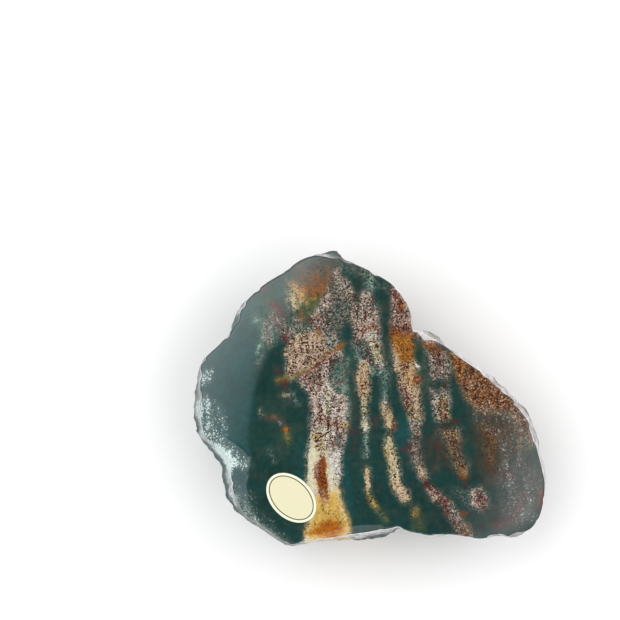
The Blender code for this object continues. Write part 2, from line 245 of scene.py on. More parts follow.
# Pale grains
PALE = (
    # The broad speckled field
    (0.25, 0.26, 4, UPPER_FIELD),
    (0.33, 0.42, 3, ((336, 272, 2.5), (341, 283, 3.5), (346, 293, 3.5))),
    (ROSE, 0.55, 3, ((329, 298, 4), (322, 309, 3), (314, 318, 4), (320, 325, 4))),
    (0.14, 0.42, 3, ((333, 300), (346, 303), (346, 316), (330, 320), (323, 313), (328, 308))),
    (0.28, 0.38, 3, ((325, 334), (336, 333), (340, 343), (334, 350), (328, 344))),
    (BEIGE, 0.97, 2.5, BEIGE_FIELD),
    (0.36, 0.95, 3, MIDDLE_FIELD),
    (0.2, 0.95, 3, ((307, 372), (322, 366), (326, 380), (320, 388), (310, 384))),
    (0.04, 0.32, 4, ((330, 356), (347, 360), (349, 395), (335, 393), (328, 380))),
    (0.42, 0.92, 3, ((328, 392), (340, 396), (346, 404), (345, 420), (335, 424), (328, 410))),
    (CREAM, 1.0, 2, ((324, 364, 1.5), (325, 374, 1.5), (327, 386, 2.5), (328, 397, 5), (327, 412, 5))),
    (CREAM, 1.0, 1.2, LOWER_FIELD),
    (WHITE, 0.9, 2, ((330, 428), (342, 430), (341, 450), (339, 476), (331, 472), (329, 450))),
    (MINT, 0.7, 3, ((336, 432), (343, 432), (341, 448), (333, 446))),
    (MINT, 0.5, 3, ((263, 320), (272, 322), (276, 340), (271, 346), (262, 338))),
    (0.20, 0.5, 4, ((275, 318, 5), (285, 332, 6), (290, 338, 4))),
    (0.25, 0.32, 3, ((293, 318), (300, 318), (301, 326), (294, 333), (288, 340), (288, 330))),
    (0.04, 0.4, 4, ((237, 498, 3), (246, 513, 4), (260, 527, 3), (276, 538, 2), (284, 544, 1))),
    (MINT, 0.9, 1.5, ((254, 321), (257, 316), (260, 321))),
    (MINT, 0.75, 1.2, ((259.5, 345, 1), (258.5, 352, 1.3))),
    (MINT, 0.2, 1.5, ((262, 355, 1), (258, 364, 1.5))),
    (STRAW, 0.22, 1.5, ((283, 395, 2), (287, 394, 1.5))),
    (MINT, 0.35, 1, ((275, 417, 0.7), (281, 423, 0.8))),
    (MINT, 0.35, 1, ((292, 394, 0.7), (298, 405, 0.8))),
    (MINT, 0.3, 1, ((268, 450, 0.6), (274, 462, 0.8))),
    (CREAM, 0.3, 1, ((261, 410, 0.8), (262, 415, 1))),
    (STRAW, 0.4, 5, ((288, 282), (296, 283), (300, 292), (302, 302), (297, 311), (292, 311), (287, 296))),
    (0.1, 0.22, 4, ((344, 266, 5), (362, 273, 4), (384, 287, 3))),
    # The bands to the right
    (MINT, 0.5, 3, ((370, 277, 3), (369, 291, 4.5))),
    (ROSE, 0.65, 2.5, ((367, 296, 5), (365, 306, 6))),
    (0.28, 0.55, 4, ((352, 303), (376, 306), (377, 318), (350, 320))),
    (ROSE, 0.85, 3, ((354, 320), (376, 317), (378, 329), (377, 341), (370, 345), (356, 340), (355, 330))),
    (MINT, 0.4, 3, ((352, 342), (368, 342), (370, 362), (356, 362))),
    (0.73, 0.95, 2, ((372, 338, 4), (375, 350, 5), (379, 364, 4))),
    (MINT, 0.35, 4, ((376, 368, 6), (384, 372, 4))),
    (0.92, 1.0, 1.5, ((364, 365, 4), (362.5, 375, 5), (363, 388, 4.5), (364, 397, 2.5))),
    (0.76, 0.75, 2, ((364, 397, 2), (364, 412, 2))),
    (CREAM, 0.85, 2, ((364.5, 418, 1.2), (365, 427, 2.3), (365, 431, 1.2))),
    (MINT, 0.35, 2, ((366, 436, 2), (366, 457, 2.5))),
    (0.91, 1.0, 1, ((366, 471, 2.5), (366.5, 482, 2.7), (367, 489, 1.8))),
    (MINT, 0.3, 3, ((384, 375, 3), (385, 400, 3))),
    (0.87, 1.0, 1.8, ((385, 407, 3), (387, 415, 4), (389, 424, 3.5), (390, 428, 1.5))),
    (0.75, 1.0, 1.5, ((388.5, 438, 2), (389, 440, 3), (391, 450, 4.1), (393.5, 465, 4.3), (396, 480, 4.3))),
    (0.94, 1.0, 1.8, ((397, 484, 4.2), (401, 492, 4.8), (405, 498, 4))),
    (ROSE, 0.85, 2.5, ((393, 289), (399, 289), (409, 307), (415, 326), (412, 333), (394, 330), (393, 310))),
    (0.96, 0.9, 2, ((396, 345, 2.5), (396, 358, 3.5), (398, 368, 3))),
    (0.94, 0.97, 2.5, (
        (398, 362), (412, 360), (418, 380), (419, 400), (421, 418), (412, 423), (405, 400), (400, 380),
    )),
    (0.24, 0.62, 3, ((415, 424, 5), (415, 440, 3.2), (417, 460, 3))),
    (0.96, 0.97, 2, ((419, 468, 2.5), (422, 474, 3.5), (424, 479, 2))),
    (0.28, 0.85, 1.5, ((431, 491, 2.5), (436, 497, 4), (439, 500, 3))),
    (0.2, 0.55, 3, ((446, 503, 4), (452, 512, 5.5), (458, 522, 5.5), (464, 532, 6), (469, 542, 6))),
    (WHITE, 1.0, 1, ((414, 364, 1.3), (418, 367, 0.9))),
    (ROSE, 0.6, 3, ((418, 331), (432, 332), (441, 342), (425, 346))),
    (DUSK, 0.0, 3, ((421, 344, 3), (423, 360, 3), (427, 392, 3))),
    (0.26, 0.65, 3, ((429, 350), (444, 352), (448, 368), (446, 378), (432, 380), (429, 365))),
    (0.2, 0.4, 3, ((430, 390), (448, 386), (450, 402), (446, 418), (436, 420), (432, 405))),
    (0.96, 0.6, 3, ((442, 401, 5), (443, 414, 5.5))),
    (0.88, 0.36, 4, ((440, 430), (458, 428), (461, 440), (452, 448), (445, 440))),
    (0.88, 0.22, 4, ((452, 447, 5), (456, 458, 6), (462, 468, 6))),
    (DUSK, 0.14, 4, ((457, 491, 4), (466, 500, 5))),
    (0.27, 0.7, 2.5, ((470, 492), (480, 489), (487, 497), (488, 506), (480, 511), (472, 505))),
    (0.95, 0.5, 3, RUSTY_FIELD),
    (DUSK, 0.0, 6, ((478, 419, 4), (500, 421, 4))),
    (0.9, 0.12, 5, ((482, 428, 3), (494, 436, 5), (497, 450, 3))),
    (0.8, 0.07, 4, ((484, 446, 3), (494, 460, 4))),
    (WHITE, 0.03, 8, GREY_FIELD),
    (MINT, 0.1, 3, ((505, 458, 3), (508, 480, 3.5), (509, 490, 3))),
    (0.58, 0.05, 6, ((518, 500), (534, 500), (537, 518), (520, 520))),
    (0.91, 0.14, 6, ((514, 425), (532, 425), (538, 448), (520, 448))),
)

# Warm stains and blood-red spots
WARM = (
    (0.18, 0.45, 4, ((288, 283), (298, 284), (306, 290), (304, 300), (298, 302), (293, 293))),
    (RUST, 0.2, 8, ((296, 275), (330, 270), (329, 284), (310, 288), (298, 285))),
    (0.4, 0.3, 4, ((304, 288), (326, 281), (326, 290), (318, 296), (306, 296))),
    (0.15, 0.35, 2, ((305, 303, 1.5), (309, 299, 3), (313, 297, 2))),
    (0.3, 0.5, 2, ((300, 314, 2), (301, 320, 2))),
    (BLOOD, 0.75, 2, ((260, 289, 1.8), (264, 289, 1.8))),
    (BLOOD, 0.55, 3, ((270, 303, 2), (277, 306, 4), (281, 312, 4), (283, 316, 2))),
    (BLOOD, 0.75, 1.5, ((267, 322, 1), (268, 330, 1.8), (270, 336, 1.8), (271, 342, 1))),
    (BLOOD, 0.7, 2, ((284, 337, 1.8), (287, 343, 1.8))),
    (BLOOD, 0.5, 2, ((275, 370, 1.3), (279, 371, 1.3))),
    (BLOOD, 0.5, 3, ((283, 381, 2.3), (284, 385, 2))),
    (0.45, 0.7, 1, ((284, 429, 1.2), (287, 429, 1.2))),
    (OCHRE, 0.2, 1.5, ((286, 433, 1.2), (287, 438, 1.2))),
    (0.8, 0.28, 2, ((271, 418, 3), (281, 420, 3))),
    (BLOOD, 0.45, 2, ((326, 300, 2), (332, 297, 2))),
    (BLOOD, 0.5, 2, ((311, 321, 2), (318, 318, 3), (322, 323, 2))),
    (BLOOD, 0.5, 2, ((316, 328, 1.8), (320, 327, 1.5))),
    (0.5, 0.75, 1.5, ((318, 331, 1.5), (321, 336, 2.3), (317, 338, 1.8))),
    (0.5, 1.1, 1, (
        (343, 344, 0.5), (336, 349, 0.7), (330, 353, 0.9), (322, 360, 1.2), (310, 369, 0.9), (300, 376, 0.9),
    )),
    (0.9, 0.75, 1, ((314, 368, 0.6), (320, 363, 1.1), (323, 370, 0.7))),
    (BLOOD, 0.5, 2, ((303, 379, 2), (307, 386, 2), (312, 390, 2))),
    (BLOOD, 0.3, 3, ((341, 362, 2), (347, 372, 2), (337, 384, 2.5), (344, 381, 2))),
    (BLOOD, 0.35, 2.5, ((312, 408, 3), (318, 406, 3))),
    (BLOOD, 0.35, 2, ((332, 400, 1.8), (338, 403, 2), (338, 409, 1.5))),
    (0.6, 0.6, 2.5, ((321, 415, 3), (327, 421, 4), (335, 424, 3))),
    (0.05, 0.7, 2, ((340, 425, 2), (346, 425, 2))),
    (0.05, 0.55, 3, ((316, 435, 3), (318, 447, 3))),
    (0.62, 0.6, 2, ((333, 443, 1), (323, 447, 2), (323, 456, 3))),
    (0.48, 1.3, 1.2, (
        (323, 459, 2), (321, 465, 5), (320.5, 471, 6), (320.5, 478, 5.5), (323, 486, 4.5), (324, 496, 4),
        (324, 502, 2),
    )),
    (0.82, 0.8, 2, ((320, 464, 3), (317, 474, 3), (320, 480, 2))),
    (OCHRE, 1.0, 3.5, (
        (315, 497), (330, 492), (337, 489), (341, 505), (347, 520), (349, 531), (343, 538), (309, 541),
        (306, 535), (310, 524), (311, 512),
    )),
    (0.62, 0.8, 2, ((323, 492, 4), (324, 501, 3))),
    (0.4, 1.2, 3.5, ((307, 534), (314, 530), (321, 522), (330, 519), (340, 523), (343, 530), (336, 537))),
    (0.5, 0.85, 1.2, ((360, 332, 1.3), (368, 329, 1.4), (377, 327, 1.1))),
    (0.45, 0.35, 2, ((362, 373, 3), (363, 385, 3))),
    (0.05, 0.6, 1.2, ((368, 492, 0.8), (372, 502, 0.9), (375, 507, 0.8))),
    (BLOOD, 0.7, 2, ((351, 432, 1.2), (357, 433, 1.6))),
    (BLOOD, 0.4, 3, ((374, 421, 2), (375, 425, 2))),
    (0.95, 0.6, 2, ((392.5, 420, 1.3), (394, 428, 1.8))),
    (OCHRE, 0.5, 2, ((387, 448, 1.5), (390, 462, 1.5))),
    (OCHRE, 0.3, 3, ((415, 509, 1.5), (414, 515, 2))),
    (0.7, 0.25, 3, ((393, 289), (398, 288), (409, 306), (415, 325), (412, 333), (392, 331), (390, 310))),
    (0.9, 0.9, 1.5, ((393, 294, 1.8), (398, 296, 1.8))),
    (0.5, 1.0, 1.2, ((399, 301, 2), (400, 310, 2.2))),
    (RUST, 0.85, 3, ((392, 326), (412, 326), (414, 335), (392, 335))),
    (0.3, 0.9, 3, ((394, 333), (411, 335), (413, 350), (412, 362), (400, 362), (396, 350), (392, 340))),
    (0.25, 0.5, 3, ((401, 362), (412, 362), (418, 378), (417, 388), (405, 386), (402, 372))),
    (0.85, 0.9, 1.2, ((415, 378, 0.9), (421, 379.5, 0.9))),
    (BLOOD, 0.9, 1.5, ((405, 389, 1.5), (408, 397, 2.2), (407, 405, 1.8))),
    (BLOOD, 0.6, 3, ((403, 449), (411, 443), (411, 452), (409, 454))),
    (BLOOD, 0.6, 1.5, ((424, 480, 1.3), (428, 489, 1.8))),
    (BLOOD, 0.85, 1.2, ((433, 492, 1.8), (437, 494, 1.8))),
    (0.82, 0.8, 2, ((440, 501, 2.5), (447, 503, 2.5))),
    (BLOOD, 0.6, 2, ((448, 510, 2), (449, 514, 2))),
    (0.45, 0.75, 2, ((465, 524, 1.8), (466, 532, 2))),
    (0.55, 0.65, 3, ((424, 344), (432, 340), (443, 348), (442, 356), (430, 352))),
    (0.7, 0.3, 3, ((443, 404, 5), (443, 414, 5))),
    (BLOOD, 0.6, 2, ((452, 420.5, 0.9), (457, 420, 1.4))),
    (BLOOD, 0.45, 3, ((428, 463, 1.3), (433, 464, 1.8), (433, 471, 1.3))),
    (BLOOD, 0.12, 8, ((352, 372, 3), (357, 420, 3), (355, 452, 3))),
    (0.8, 0.1, 10, ((436, 424), (462, 430), (466, 468), (446, 468), (412, 456))),
    (BLOOD, 0.35, 3, ((438, 447, 2), (439, 449, 2))),
    (0.5, 0.25, 4, ((448, 434, 4), (456, 438, 4), (454, 450, 4))),
    (0.28, 0.3, 3, ((462, 469, 3), (463, 476, 3.5))),
    (BLOOD, 0.4, 4, ((465, 480, 3), (467, 484, 2))),
    (BLOOD, 0.85, 1.5, ((482, 499, 2.5), (485, 502, 2.3))),
    (0.95, 0.5, 2, ((479, 507, 2.5), (484, 509, 2))),
    (RUST, 0.6, 2, ((464, 513, 2.5), (467, 514, 2))),
    (0.5, 0.62, 3, RUSTY_FIELD),
    (0.36, 0.85, 3, ((456, 354), (462, 358), (466, 372), (458, 374), (455, 362))),
    (0.75, 0.4, 4, ((510, 404), (524, 410), (532, 440), (520, 436), (512, 420))),
    (0.6, 0.06, 14, OLIVE_FIELD),
    (RUST, 0.0, 6, ((480, 420, 4), (498, 421, 4))),
    (0.5, 0.16, 5, ((480, 430, 3), (493, 434, 5), (500, 446, 3), (488, 456, 3))),
    (BLOOD, 0.07, 6, GREY_FIELD),
    (BLOOD, 0.5, 2, ((506, 474, 2.5), (509, 477, 2))),
    (0.8, 0.5, 3, ((541, 490, 2), (543, 506, 3))),
    (BLOOD, 0.35, 3, ((525, 497, 3), (513, 521, 3), (495, 525, 3))),
)

# Dark specks among the grains
SPECK = (
    (0.3, 0.2, 3, UPPER_FIELD),
    (0.45, 0.4, 2.5, BEIGE_FIELD),
    (0.6, 0.4, 2.5, MIDDLE_FIELD),
    (0.7, 0.4, 3, ((316, 430), (345, 428), (344, 450), (330, 456), (318, 450))),
    (0.5, 0.16, 3, ((330, 452), (342, 452), (342, 480), (332, 490))),
    (0.55, 0.3, 2, ((324, 446, 4), (322, 470, 4), (324, 496, 4))),
    (0.3, 0.16, 3, ((320, 504), (338, 500), (348, 525), (310, 528))),
    (BLACK, 0.35, 4, ((302, 262), (322, 260), (326, 272), (306, 274))),
    (MAROON, 0.3, 4, ((275, 318, 5), (285, 332, 6), (290, 338, 4))),
    (0.65, 0.32, 3, ((352, 295), (376, 295), (384, 366), (372, 366), (352, 350))),
    (0.55, 0.3, 2, ((364, 364, 4), (363, 388, 4), (366, 412, 2))),
    (0.5, 0.25, 1, ((366, 471, 2.5), (367, 489, 2))),
    (0.6, 0.26, 2, ((385, 407, 3.5), (390, 428, 4), (391, 450, 5), (396, 480, 5), (405, 499, 5))),
    (0.6, 0.4, 3, ((393, 289), (399, 289), (409, 307), (414, 333), (392, 333))),
    (0.45, 0.26, 3, ((391, 333), (413, 335), (413, 358), (394, 358))),
    (0.4, 0.35, 3, ((394, 360), (413, 360), (418, 380), (425, 424), (411, 424), (403, 400), (398, 380))),
    (0.7, 0.3, 3, ((414, 424, 5), (417, 460, 4), (424, 479, 3), (438, 500, 4), (466, 540, 7))),
    (0.5, 0.38, 3, ((428, 346), (444, 350), (448, 378), (431, 380))),
    (0.5, 0.36, 3, ((440, 390, 8), (443, 415, 7), (450, 436, 8), (460, 465, 7))),
    (0.8, 0.48, 2, ((478, 497, 6), (483, 505, 5))),
    (0.5, 0.42, 3, RUSTY_FIELD),
    (0.5, 0.26, 12, OLIVE_FIELD),
)

# Bare green places on the broken rim
BARE = (
    (0.7, 5, (
        (186, 425), (212, 440), (222, 470), (234, 500), (262, 525), (292, 545), (292, 560), (250, 555),
        (190, 500),
    )),
    (0.9, 5, ((236, 505, 8), (262, 528, 8), (286, 545, 5))),
    (0.7, 3, ((505, 538, 3), (520, 536, 4), (532, 527, 3))),
    (0.95, 2, ((327, 256), (324, 238), (345, 240), (356, 262), (340, 266), (332, 258))),
    (0.95, 1.5, ((218, 333), (222, 314), (236, 313), (241, 322), (232, 336))),
    (0.6, 4, ((180, 356), (200, 358), (204, 440), (180, 440))),
    (0.6, 2, ((436, 338, 1), (444, 345, 2), (452, 349, 1.5))),
    (0.8, 1.5, ((494, 534, 2), (502, 541, 2))),
    (0.55, 2, ((296, 545, 1.5), (318, 542, 2.5), (345, 541, 2), (372, 538, 2))),
    (0.5, 1.5, ((360, 262, 1), (395, 282, 1), (413, 320, 1))),
    (0.9, 1.5, ((200, 358, 1.5), (232, 325, 1.5), (262, 284, 1.5), (302, 258, 1.5), (322, 254, 1.5))),
)

# The frosted margin that the polishing left rough
FROST = (
    (0.16, 6, ((203, 396), (222, 408), (232, 440), (246, 470), (225, 455), (206, 420))),
    (0.08, 6, ((232, 476), (247, 492), (264, 514), (284, 536), (262, 520), (236, 498))),
    (0.4, 3, ((201, 375), (210, 369), (213, 372), (211, 380), (202, 384))),
    (0.55, 4, ((191, 396), (204, 397), (211, 403), (205, 411), (203, 424), (195, 430), (190, 410))),
    (0.26, 4, ((196, 420), (209, 420), (217, 431), (225, 441), (210, 443), (198, 437))),
    (0.8, 4, (
        (202, 441), (220, 444), (229, 450), (236, 457), (239, 465), (231, 470), (225, 479), (217, 474),
        (208, 457),
    )),
    (0.28, 4, ((233, 450), (249, 458), (251, 466), (240, 471))),
    (0.05, 8, GREY_FIELD),
    (0.06, 3, ((470, 404), (512, 410), (530, 440), (515, 448), (474, 424))),
    (0.1, 3, ((503, 445, 4), (508, 475, 4), (509, 500, 3))),
    (0.1, 6, ((516, 495), (536, 492), (538, 520), (518, 524))),
    (0.3, 5, ((200, 440, 4), (216, 474, 4), (226, 505, 4))),
    (0.6, 4, ((220, 472, 4), (224, 490, 3), (230, 503, 4))),
    (0.16, 4, ((238, 500, 3), (246, 513, 4), (260, 526, 4), (276, 537, 3), (284, 543, 2))),
    (0.5, 3, ((197, 422, 3), (199, 432, 3))),
)

MARKS = {
    "ground": GROUND,
    "mist": MIST,
    "pale": PALE,
    "warm": WARM,
    "speck": SPECK,
    "frost": FROST,
    "bare": BARE,
}

# The sticker
LABEL_CENTRE = Vector((-16.3, -20.8))
LABEL_TURN = math.radians(-45.0)
LABEL_COLUMNS = 160
LABEL_RINGS = (0.0, 0.3, 0.6, 0.9, 1.3, 2.0, 2.8, 3.6)  # how far in from its edge, in millimetres
LABEL_CURL = 0.03
LABEL_CURL_GRAIN = 0.35

# Grains and clouds in the stone, in metres as its finish is
GRAIN_SHIFT = 0.0003
GRAIN_SHIFT_SIZE = 0.0006
GRAIN_SOFTNESS = 0.2
GRAIN_CONTRAST = 1.5
MOTTLE_SIZE = 0.0025
MOTTLE_TONE = 0.55
CLOUD_SIZE = 0.006
CLUMP_SIZE = 0.0011
GROUND_DARKEST = 0.05
CLOUD_LIGHT = 0.5
MOTTLE_LIGHT = 0.7
CLUMP_LIGHT = 0.7
PICK_SPREAD = 1.0
CLUMP_SPREAD = 0.6
PALE_TONE_SPREAD = 0.2
WARM_TONE_SPREAD = 0.25
SPECK_TONE_SPREAD = 0.9
BRIGHTEST = 1.1
LEAST_SHADE = 0.25
SPECK_SHADE = 1.6
WISP_SIZE = 0.0016
WISP_BEND = 2.5
WISP_SHARE = 0.75
WISP_CONTRAST = 3.5
CRUST_SIZE = 0.005
CRUST_LEAST = -0.2
CRUST_SPREAD = 1.3
CRUST_BRUISE = 0.4
CRUST_RIM = 0.75
RIM_SLOPE = 2.4  # how fast the pale rim fades downwards, where it ends, and how much that varies
RIM_END = 0.45
RIM_RAGGED = 2.8
CRUST_FINE_SIZE = 0.0009
CRUST_FINE_SPREAD = 0.8
# Painted shade and painted highlights on the broken sides: dark lines along their creases and bright lines on
# the ridges between them, drawn as colour, not relief
CREASE_SIZE = 0.0042
CREASE_SQUASH = (1.0, 1.0, 6.0)  # creases are this much lower than long
CREASE_WIDTH = 0.06
CREASE_SHADE_DEPTH = 0.75
# The painted highlight along the edge of the polish, partly the pale bruised edge: where it starts, its
# least, its clumps, and how strongly it and the ridge highlights are painted
BRINK_FROM = 0.9
BRINK_LEAST = 0.4
BRINK_CLUMPS = 1.2
HIGHLIGHT_SHARE = 0.8
FROST_HAZE = 0.28
FROST_DARKEST = 0.72
FROST_CLUMPS = 0.5
GRIT_SIZE = 0.00035
GRIT_HEIGHT = 0.0002
GRIT_STRENGTH = 0.6
CHALCEDONY_IOR = 1.54

# Paper
FIBRE_SIZE = 0.0003
FIBRE_HEIGHT = 0.00002
FIBRE_STRENGTH = 0.4
PAPER_DARKEST = 0.96
PAPER_FIBRES = 0.08
INK_LEAST = 0.8
INK_FIBRES = 0.3
LINE_SOFTNESS = 0.05
PAPER_ROUGHNESS = 0.6

# The sockets of a Mix node for colours
MIX_SHARE, MIX_UNDER, MIX_OVER, MIX_COLOUR = 0, 6, 7, 2

# The stage
SENSOR = 36.0
FLOOR_ROUGHNESS = 0.9
CAMERA_SPOT = Vector((-12.4, 18.3))
# How bright the tent's walls are, by the sine of the angle from straight above
WALL_LEVELS = ((0.0, 0.03), (0.4, 0.04), (0.48, 0.9), (0.54, 1.0), (0.7, 0.9), (1.0, 0.32))
# Two soft boxes hang from the tent's dark ceiling. Each grows brighter outwards, and they end at the walls.
BOXES_END = 0.52
BOXES_FADE = 0.15
LEFT_BOX_SLANT = 0.8
LEFT_BOX_RISE = 3.3
LEFT_BOX_LIGHT = 2.15
LEFT_BOX_END = 0.22
LEFT_BOX_END_RISE = 7.0
LEFT_BOX_EDGE = -0.075
LEFT_BOX_EDGE_SLANT = 0.4
LEFT_BOX_CORNER_TURN = 0.25
LEFT_BOX_EDGE_BLUR = 0.003
LEFT_BOX_CORNER = 0.01
LEFT_BOX_CORNER_BLUR = 0.35
RIGHT_BOX_FROM = 0.14
RIGHT_BOX_RISE = 4.2
RIGHT_BOX_LIGHT = 1.5
SIDE_LIGHTS = (
    ("left_light", (-0.85, 0.35, 0.9), (0.0, math.radians(-45.0), math.radians(-22.0))),
    ("right_light", (0.85, 0.35, 0.9), (0.0, math.radians(45.0), math.radians(22.0))),
)
SIDE_LIGHT_SIZE = (0.7, 0.7)


def shown_colour(red, green, blue):
    """A colour given by its screen levels, 0 to 255, as the amounts of light that Blender works with."""
    shares = [level / 255.0 for level in (red, green, blue)]
    return tuple(share / 12.92 if share <= 0.04045 else ((share + 0.055) / 1.055) ** 2.4 for share in shares)


def colour_setting(name, description, *levels):
    return bpy.props.FloatVectorProperty(
        name=name, description=description, subtype="COLOR", min=0.0, max=1.0, default=shown_colour(*levels)
    )


def length_setting(name, description, default):
    return bpy.props.FloatProperty(
        name=name, description=description, subtype="DISTANCE", min=0.0, precision=5, default=default
    )


def share_setting(name, description, default):
    return bpy.props.FloatProperty(
        name=name, description=description, subtype="FACTOR", min=0.0, max=1.0, default=default
    )


class StoneSettings(bpy.types.PropertyGroup):
    columns: bpy.props.IntProperty(
        name="Columns", description="Points round the stone in its net", min=96, max=500, default=480
    )
    chip_size: length_setting("Chip size", "Breadth of the shell-shaped chips of the broken sides", 0.0046)
    chip_depth: length_setting("Chip depth", "Depth of those chips", 0.00068)
    ripple_depth: length_setting("Ripple depth", "Depth of the ripples in the large scars", 0.00014)
    grit_depth: length_setting("Grit depth", "Depth of the fine grit of the broken sides", 0.00015)
    grain_size: length_setting("Grain size", "Breadth of the mineral grains", 0.00025)
    speck_size: length_setting("Speck size", "Breadth of the dark specks and of the frosting", 0.00024)
    polish_roughness: share_setting("Polish roughness", "Roughness of the polished face", 0.045)
    broken_roughness: share_setting("Broken roughness", "Roughness of the broken sides", 0.42)
    teal: colour_setting("Teal", "Bluest of the base greens", 28, 72, 74)
    deep_green: colour_setting("Deep green", "Main base green", 26, 55, 51)
    grey_green: colour_setting("Grey green", "Dull base green", 52, 58, 53)
    olive: colour_setting("Olive", "Yellowest of the base greens", 74, 78, 36)
    brown: colour_setting("Brown", "Brown haze in the base green", 48, 42, 26)
    fresh: colour_setting("Fresh green", "Soft green stains", 66, 100, 82)
    gold: colour_setting("Gold", "Soft olive yellow stains", 122, 108, 42)
    amber: colour_setting("Amber", "Soft orange stains", 150, 84, 22)
    rose: colour_setting("Rose", "Pale grains, pinkish white", 222, 198, 178)
    white: colour_setting("White", "Pale grains, whitest", 218, 212, 206)
    cream: colour_setting("Cream", "Pale grains, cream", 205, 201, 172)
    straw: colour_setting("Straw", "Pale grains, straw yellow", 208, 184, 134)
    beige: colour_setting("Beige", "Pale grains, pinkish beige", 202, 176, 156)
    dusk: colour_setting("Dusk", "Pale grains, dim pinkish grey", 132, 118, 110)
    mint: colour_setting("Mint", "Pale grains, grey mint", 142, 164, 150)
    ochre: colour_setting("Ochre", "Yellow stains", 204, 170, 90)
    orange: colour_setting("Orange", "Orange stains", 168, 98, 26)
    rust: colour_setting("Rust", "Rusty stains", 120, 60, 26)
    blood: colour_setting("Blood red", "Red spots", 98, 32, 40)
    black: colour_setting("Black", "Darkest specks", 26, 34, 30)
    umber: colour_setting("Umber", "Brown specks", 66, 40, 26)
    maroon: colour_setting("Maroon", "Red specks", 82, 26, 32)
    bruise: colour_setting("Bruise", "Dull bruised skin of the broken sides", 136, 142, 134)
    crust: colour_setting("Crust", "Pale bruised skin near the polished edge", 220, 214, 216)
    # Painted shade in the creases of the broken sides
    crease_shade: colour_setting("Crease", "Creases of the broken sides", 84, 78, 78)
    # Painted highlight along the edge of the polish and on the ridges between creases, partly the pale
    # bruised edge
    brink_highlight: colour_setting("Brink", "Bright line where the polish ends", 246, 242, 244)
    frost: colour_setting("Frost", "Unpolished frosting on the left margin", 208, 226, 222)


class LabelSettings(bpy.types.PropertyGroup):
    length: length_setting("Length", "Length of the sticker", 0.012)
    breadth: length_setting("Breadth", "Breadth of the sticker", 0.0085)
    paper: length_setting("Paper", "Thickness of the paper", 0.00013)
    gap: length_setting("Glue", "Thickness of the glue under the paper", 0.00002)
    line_inset: length_setting("Line inset", "How far in from the edge the printed oval lies", 0.00064)
    line_width: length_setting("Line width", "Width of the printed oval", 0.00023)
    field: colour_setting("Field", "Paper inside the printed oval", 221, 216, 181)
    border: colour_setting("Border", "Paper outside the printed oval", 236, 233, 206)
    line: colour_setting("Line", "Ink of the printed oval", 48, 42, 14)


class StageSettings(bpy.types.PropertyGroup):
    lens: bpy.props.FloatProperty(
        name="Lens", description="Focal length of the camera", subtype="DISTANCE_CAMERA", default=200.0
    )
    sight: length_setting("Sight", "Breadth of what the camera sees at the height of the face", 0.129)
    floor_breadth: length_setting("Floor breadth", "Breadth of the floor", 6.0)
    floor_colour: colour_setting("Floor", "Colour of the floor", 251, 251, 251)
    tent_light: bpy.props.FloatProperty(
        name="Tent light", description="Brightness of the white tent all round", min=0.0, default=1.5
    )
    side_light: bpy.props.FloatProperty(
        name="Side light", description="Power of each soft light at the sides", min=0.0, default=1.6
    )


# Shapes

def ease(share):
    """0 to 1 with level ends."""
    share = max(0.0, min(1.0, share))
    return share * share * (3.0 - 2.0 * share)


def lesser(a, b, softness):
    """The lesser of two values, with the corner between them rounded."""
    blend = max(softness - abs(a - b), 0.0) / softness
    return min(a, b) - blend * blend * softness / 4.0


def curve_between(before, start, end, after, share):
    """A point between start and end on the smooth curve through four corners that may be unevenly spaced."""
    t1 = math.sqrt((start - before).xy.length)
    t2 = t1 + math.sqrt((end - start).xy.length)
    t3 = t2 + math.sqrt((after - end).xy.length)
    t = t1 + (t2 - t1) * share
    a = before.lerp(start, t / t1)
    b = start.lerp(end, (t - t1) / (t2 - t1))
    c = end.lerp(after, (t - t2) / (t3 - t2))
    return a.lerp(b, t / t2).lerp(b.lerp(c, (t - t1) / (t3 - t1)), (t - t1) / (t2 - t1))


def even_steps(line, count):
    """count + 1 points at even steps along a line of points, the first and the last among them."""
    lengths = [0.0]
    for a, b in zip(line, line[1:]):
        lengths.append(lengths[-1] + (b - a).length)
    points = []
    piece = 0
    for i in range(count):
        along = lengths[-1] * i / count
        while lengths[piece + 1] <= along:
            piece += 1
        share = (along - lengths[piece]) / (lengths[piece + 1] - lengths[piece])
        points.append(line[piece].lerp(line[piece + 1], share))
    return [*points, line[-1]]


def outline_points(count):
    """count points (x, y, rim) at even steps along the closed outline."""
    corners = [Vector(corner) for corner in OUTLINE]
    line = []
    for i in range(len(corners)):
        four = [corners[(i + step) % len(corners)] for step in (-1, 0, 1, 2)]
        line += [curve_between(*four, part / OUTLINE_STEPS) for part in range(OUTLINE_STEPS)]
    return even_steps([*line, line[0]], count)[:-1]


def relaxed_lengths(outline):
    """How far out the side stands in each direction once the small teeth of the outline have died out."""
    offsets = [corner.xy - MIDDLE for corner in outline]
    turns = [math.atan2(offset.y, offset.x) for offset in offsets]

    def near(values, here):
        gaps = [abs(math.remainder(turn - here, math.tau)) for turn in turns]
        return [value for value, gap in zip(values, gaps) if gap < RELAX_TURN]

    lengths = [offset.length for offset in offsets]
    lowest = [min(near(lengths, turn)) for turn in turns]
    return [sum(near(lowest, turn)) / len(near(lowest, turn)) for turn in turns]


def face_height(x, y):
    """Height of the polished face, as if it had no edge."""
    bulge = (x / PILLOW_HALF_SIZE.x) ** 2 + (y / PILLOW_HALF_SIZE.y) ** 2
    return THICKNESS - PILLOW_DROP * bulge * bulge


def shoulder_drop(x, y, from_edge):
    """How far the worn slopes at its edge lie below the polished face."""
    direction = math.degrees(math.atan2(y - MIDDLE.y, x - MIDDLE.x))
    drop = 0.0
    for azimuth, spread, most, width, end_width in SHOULDERS:
        nearness = ease(1.0 - abs(math.remainder(direction - azimuth, 360.0)) / spread)
        drop += most * nearness * ease(1.0 - from_edge / (end_width + (width - end_width) * nearness))
    return drop


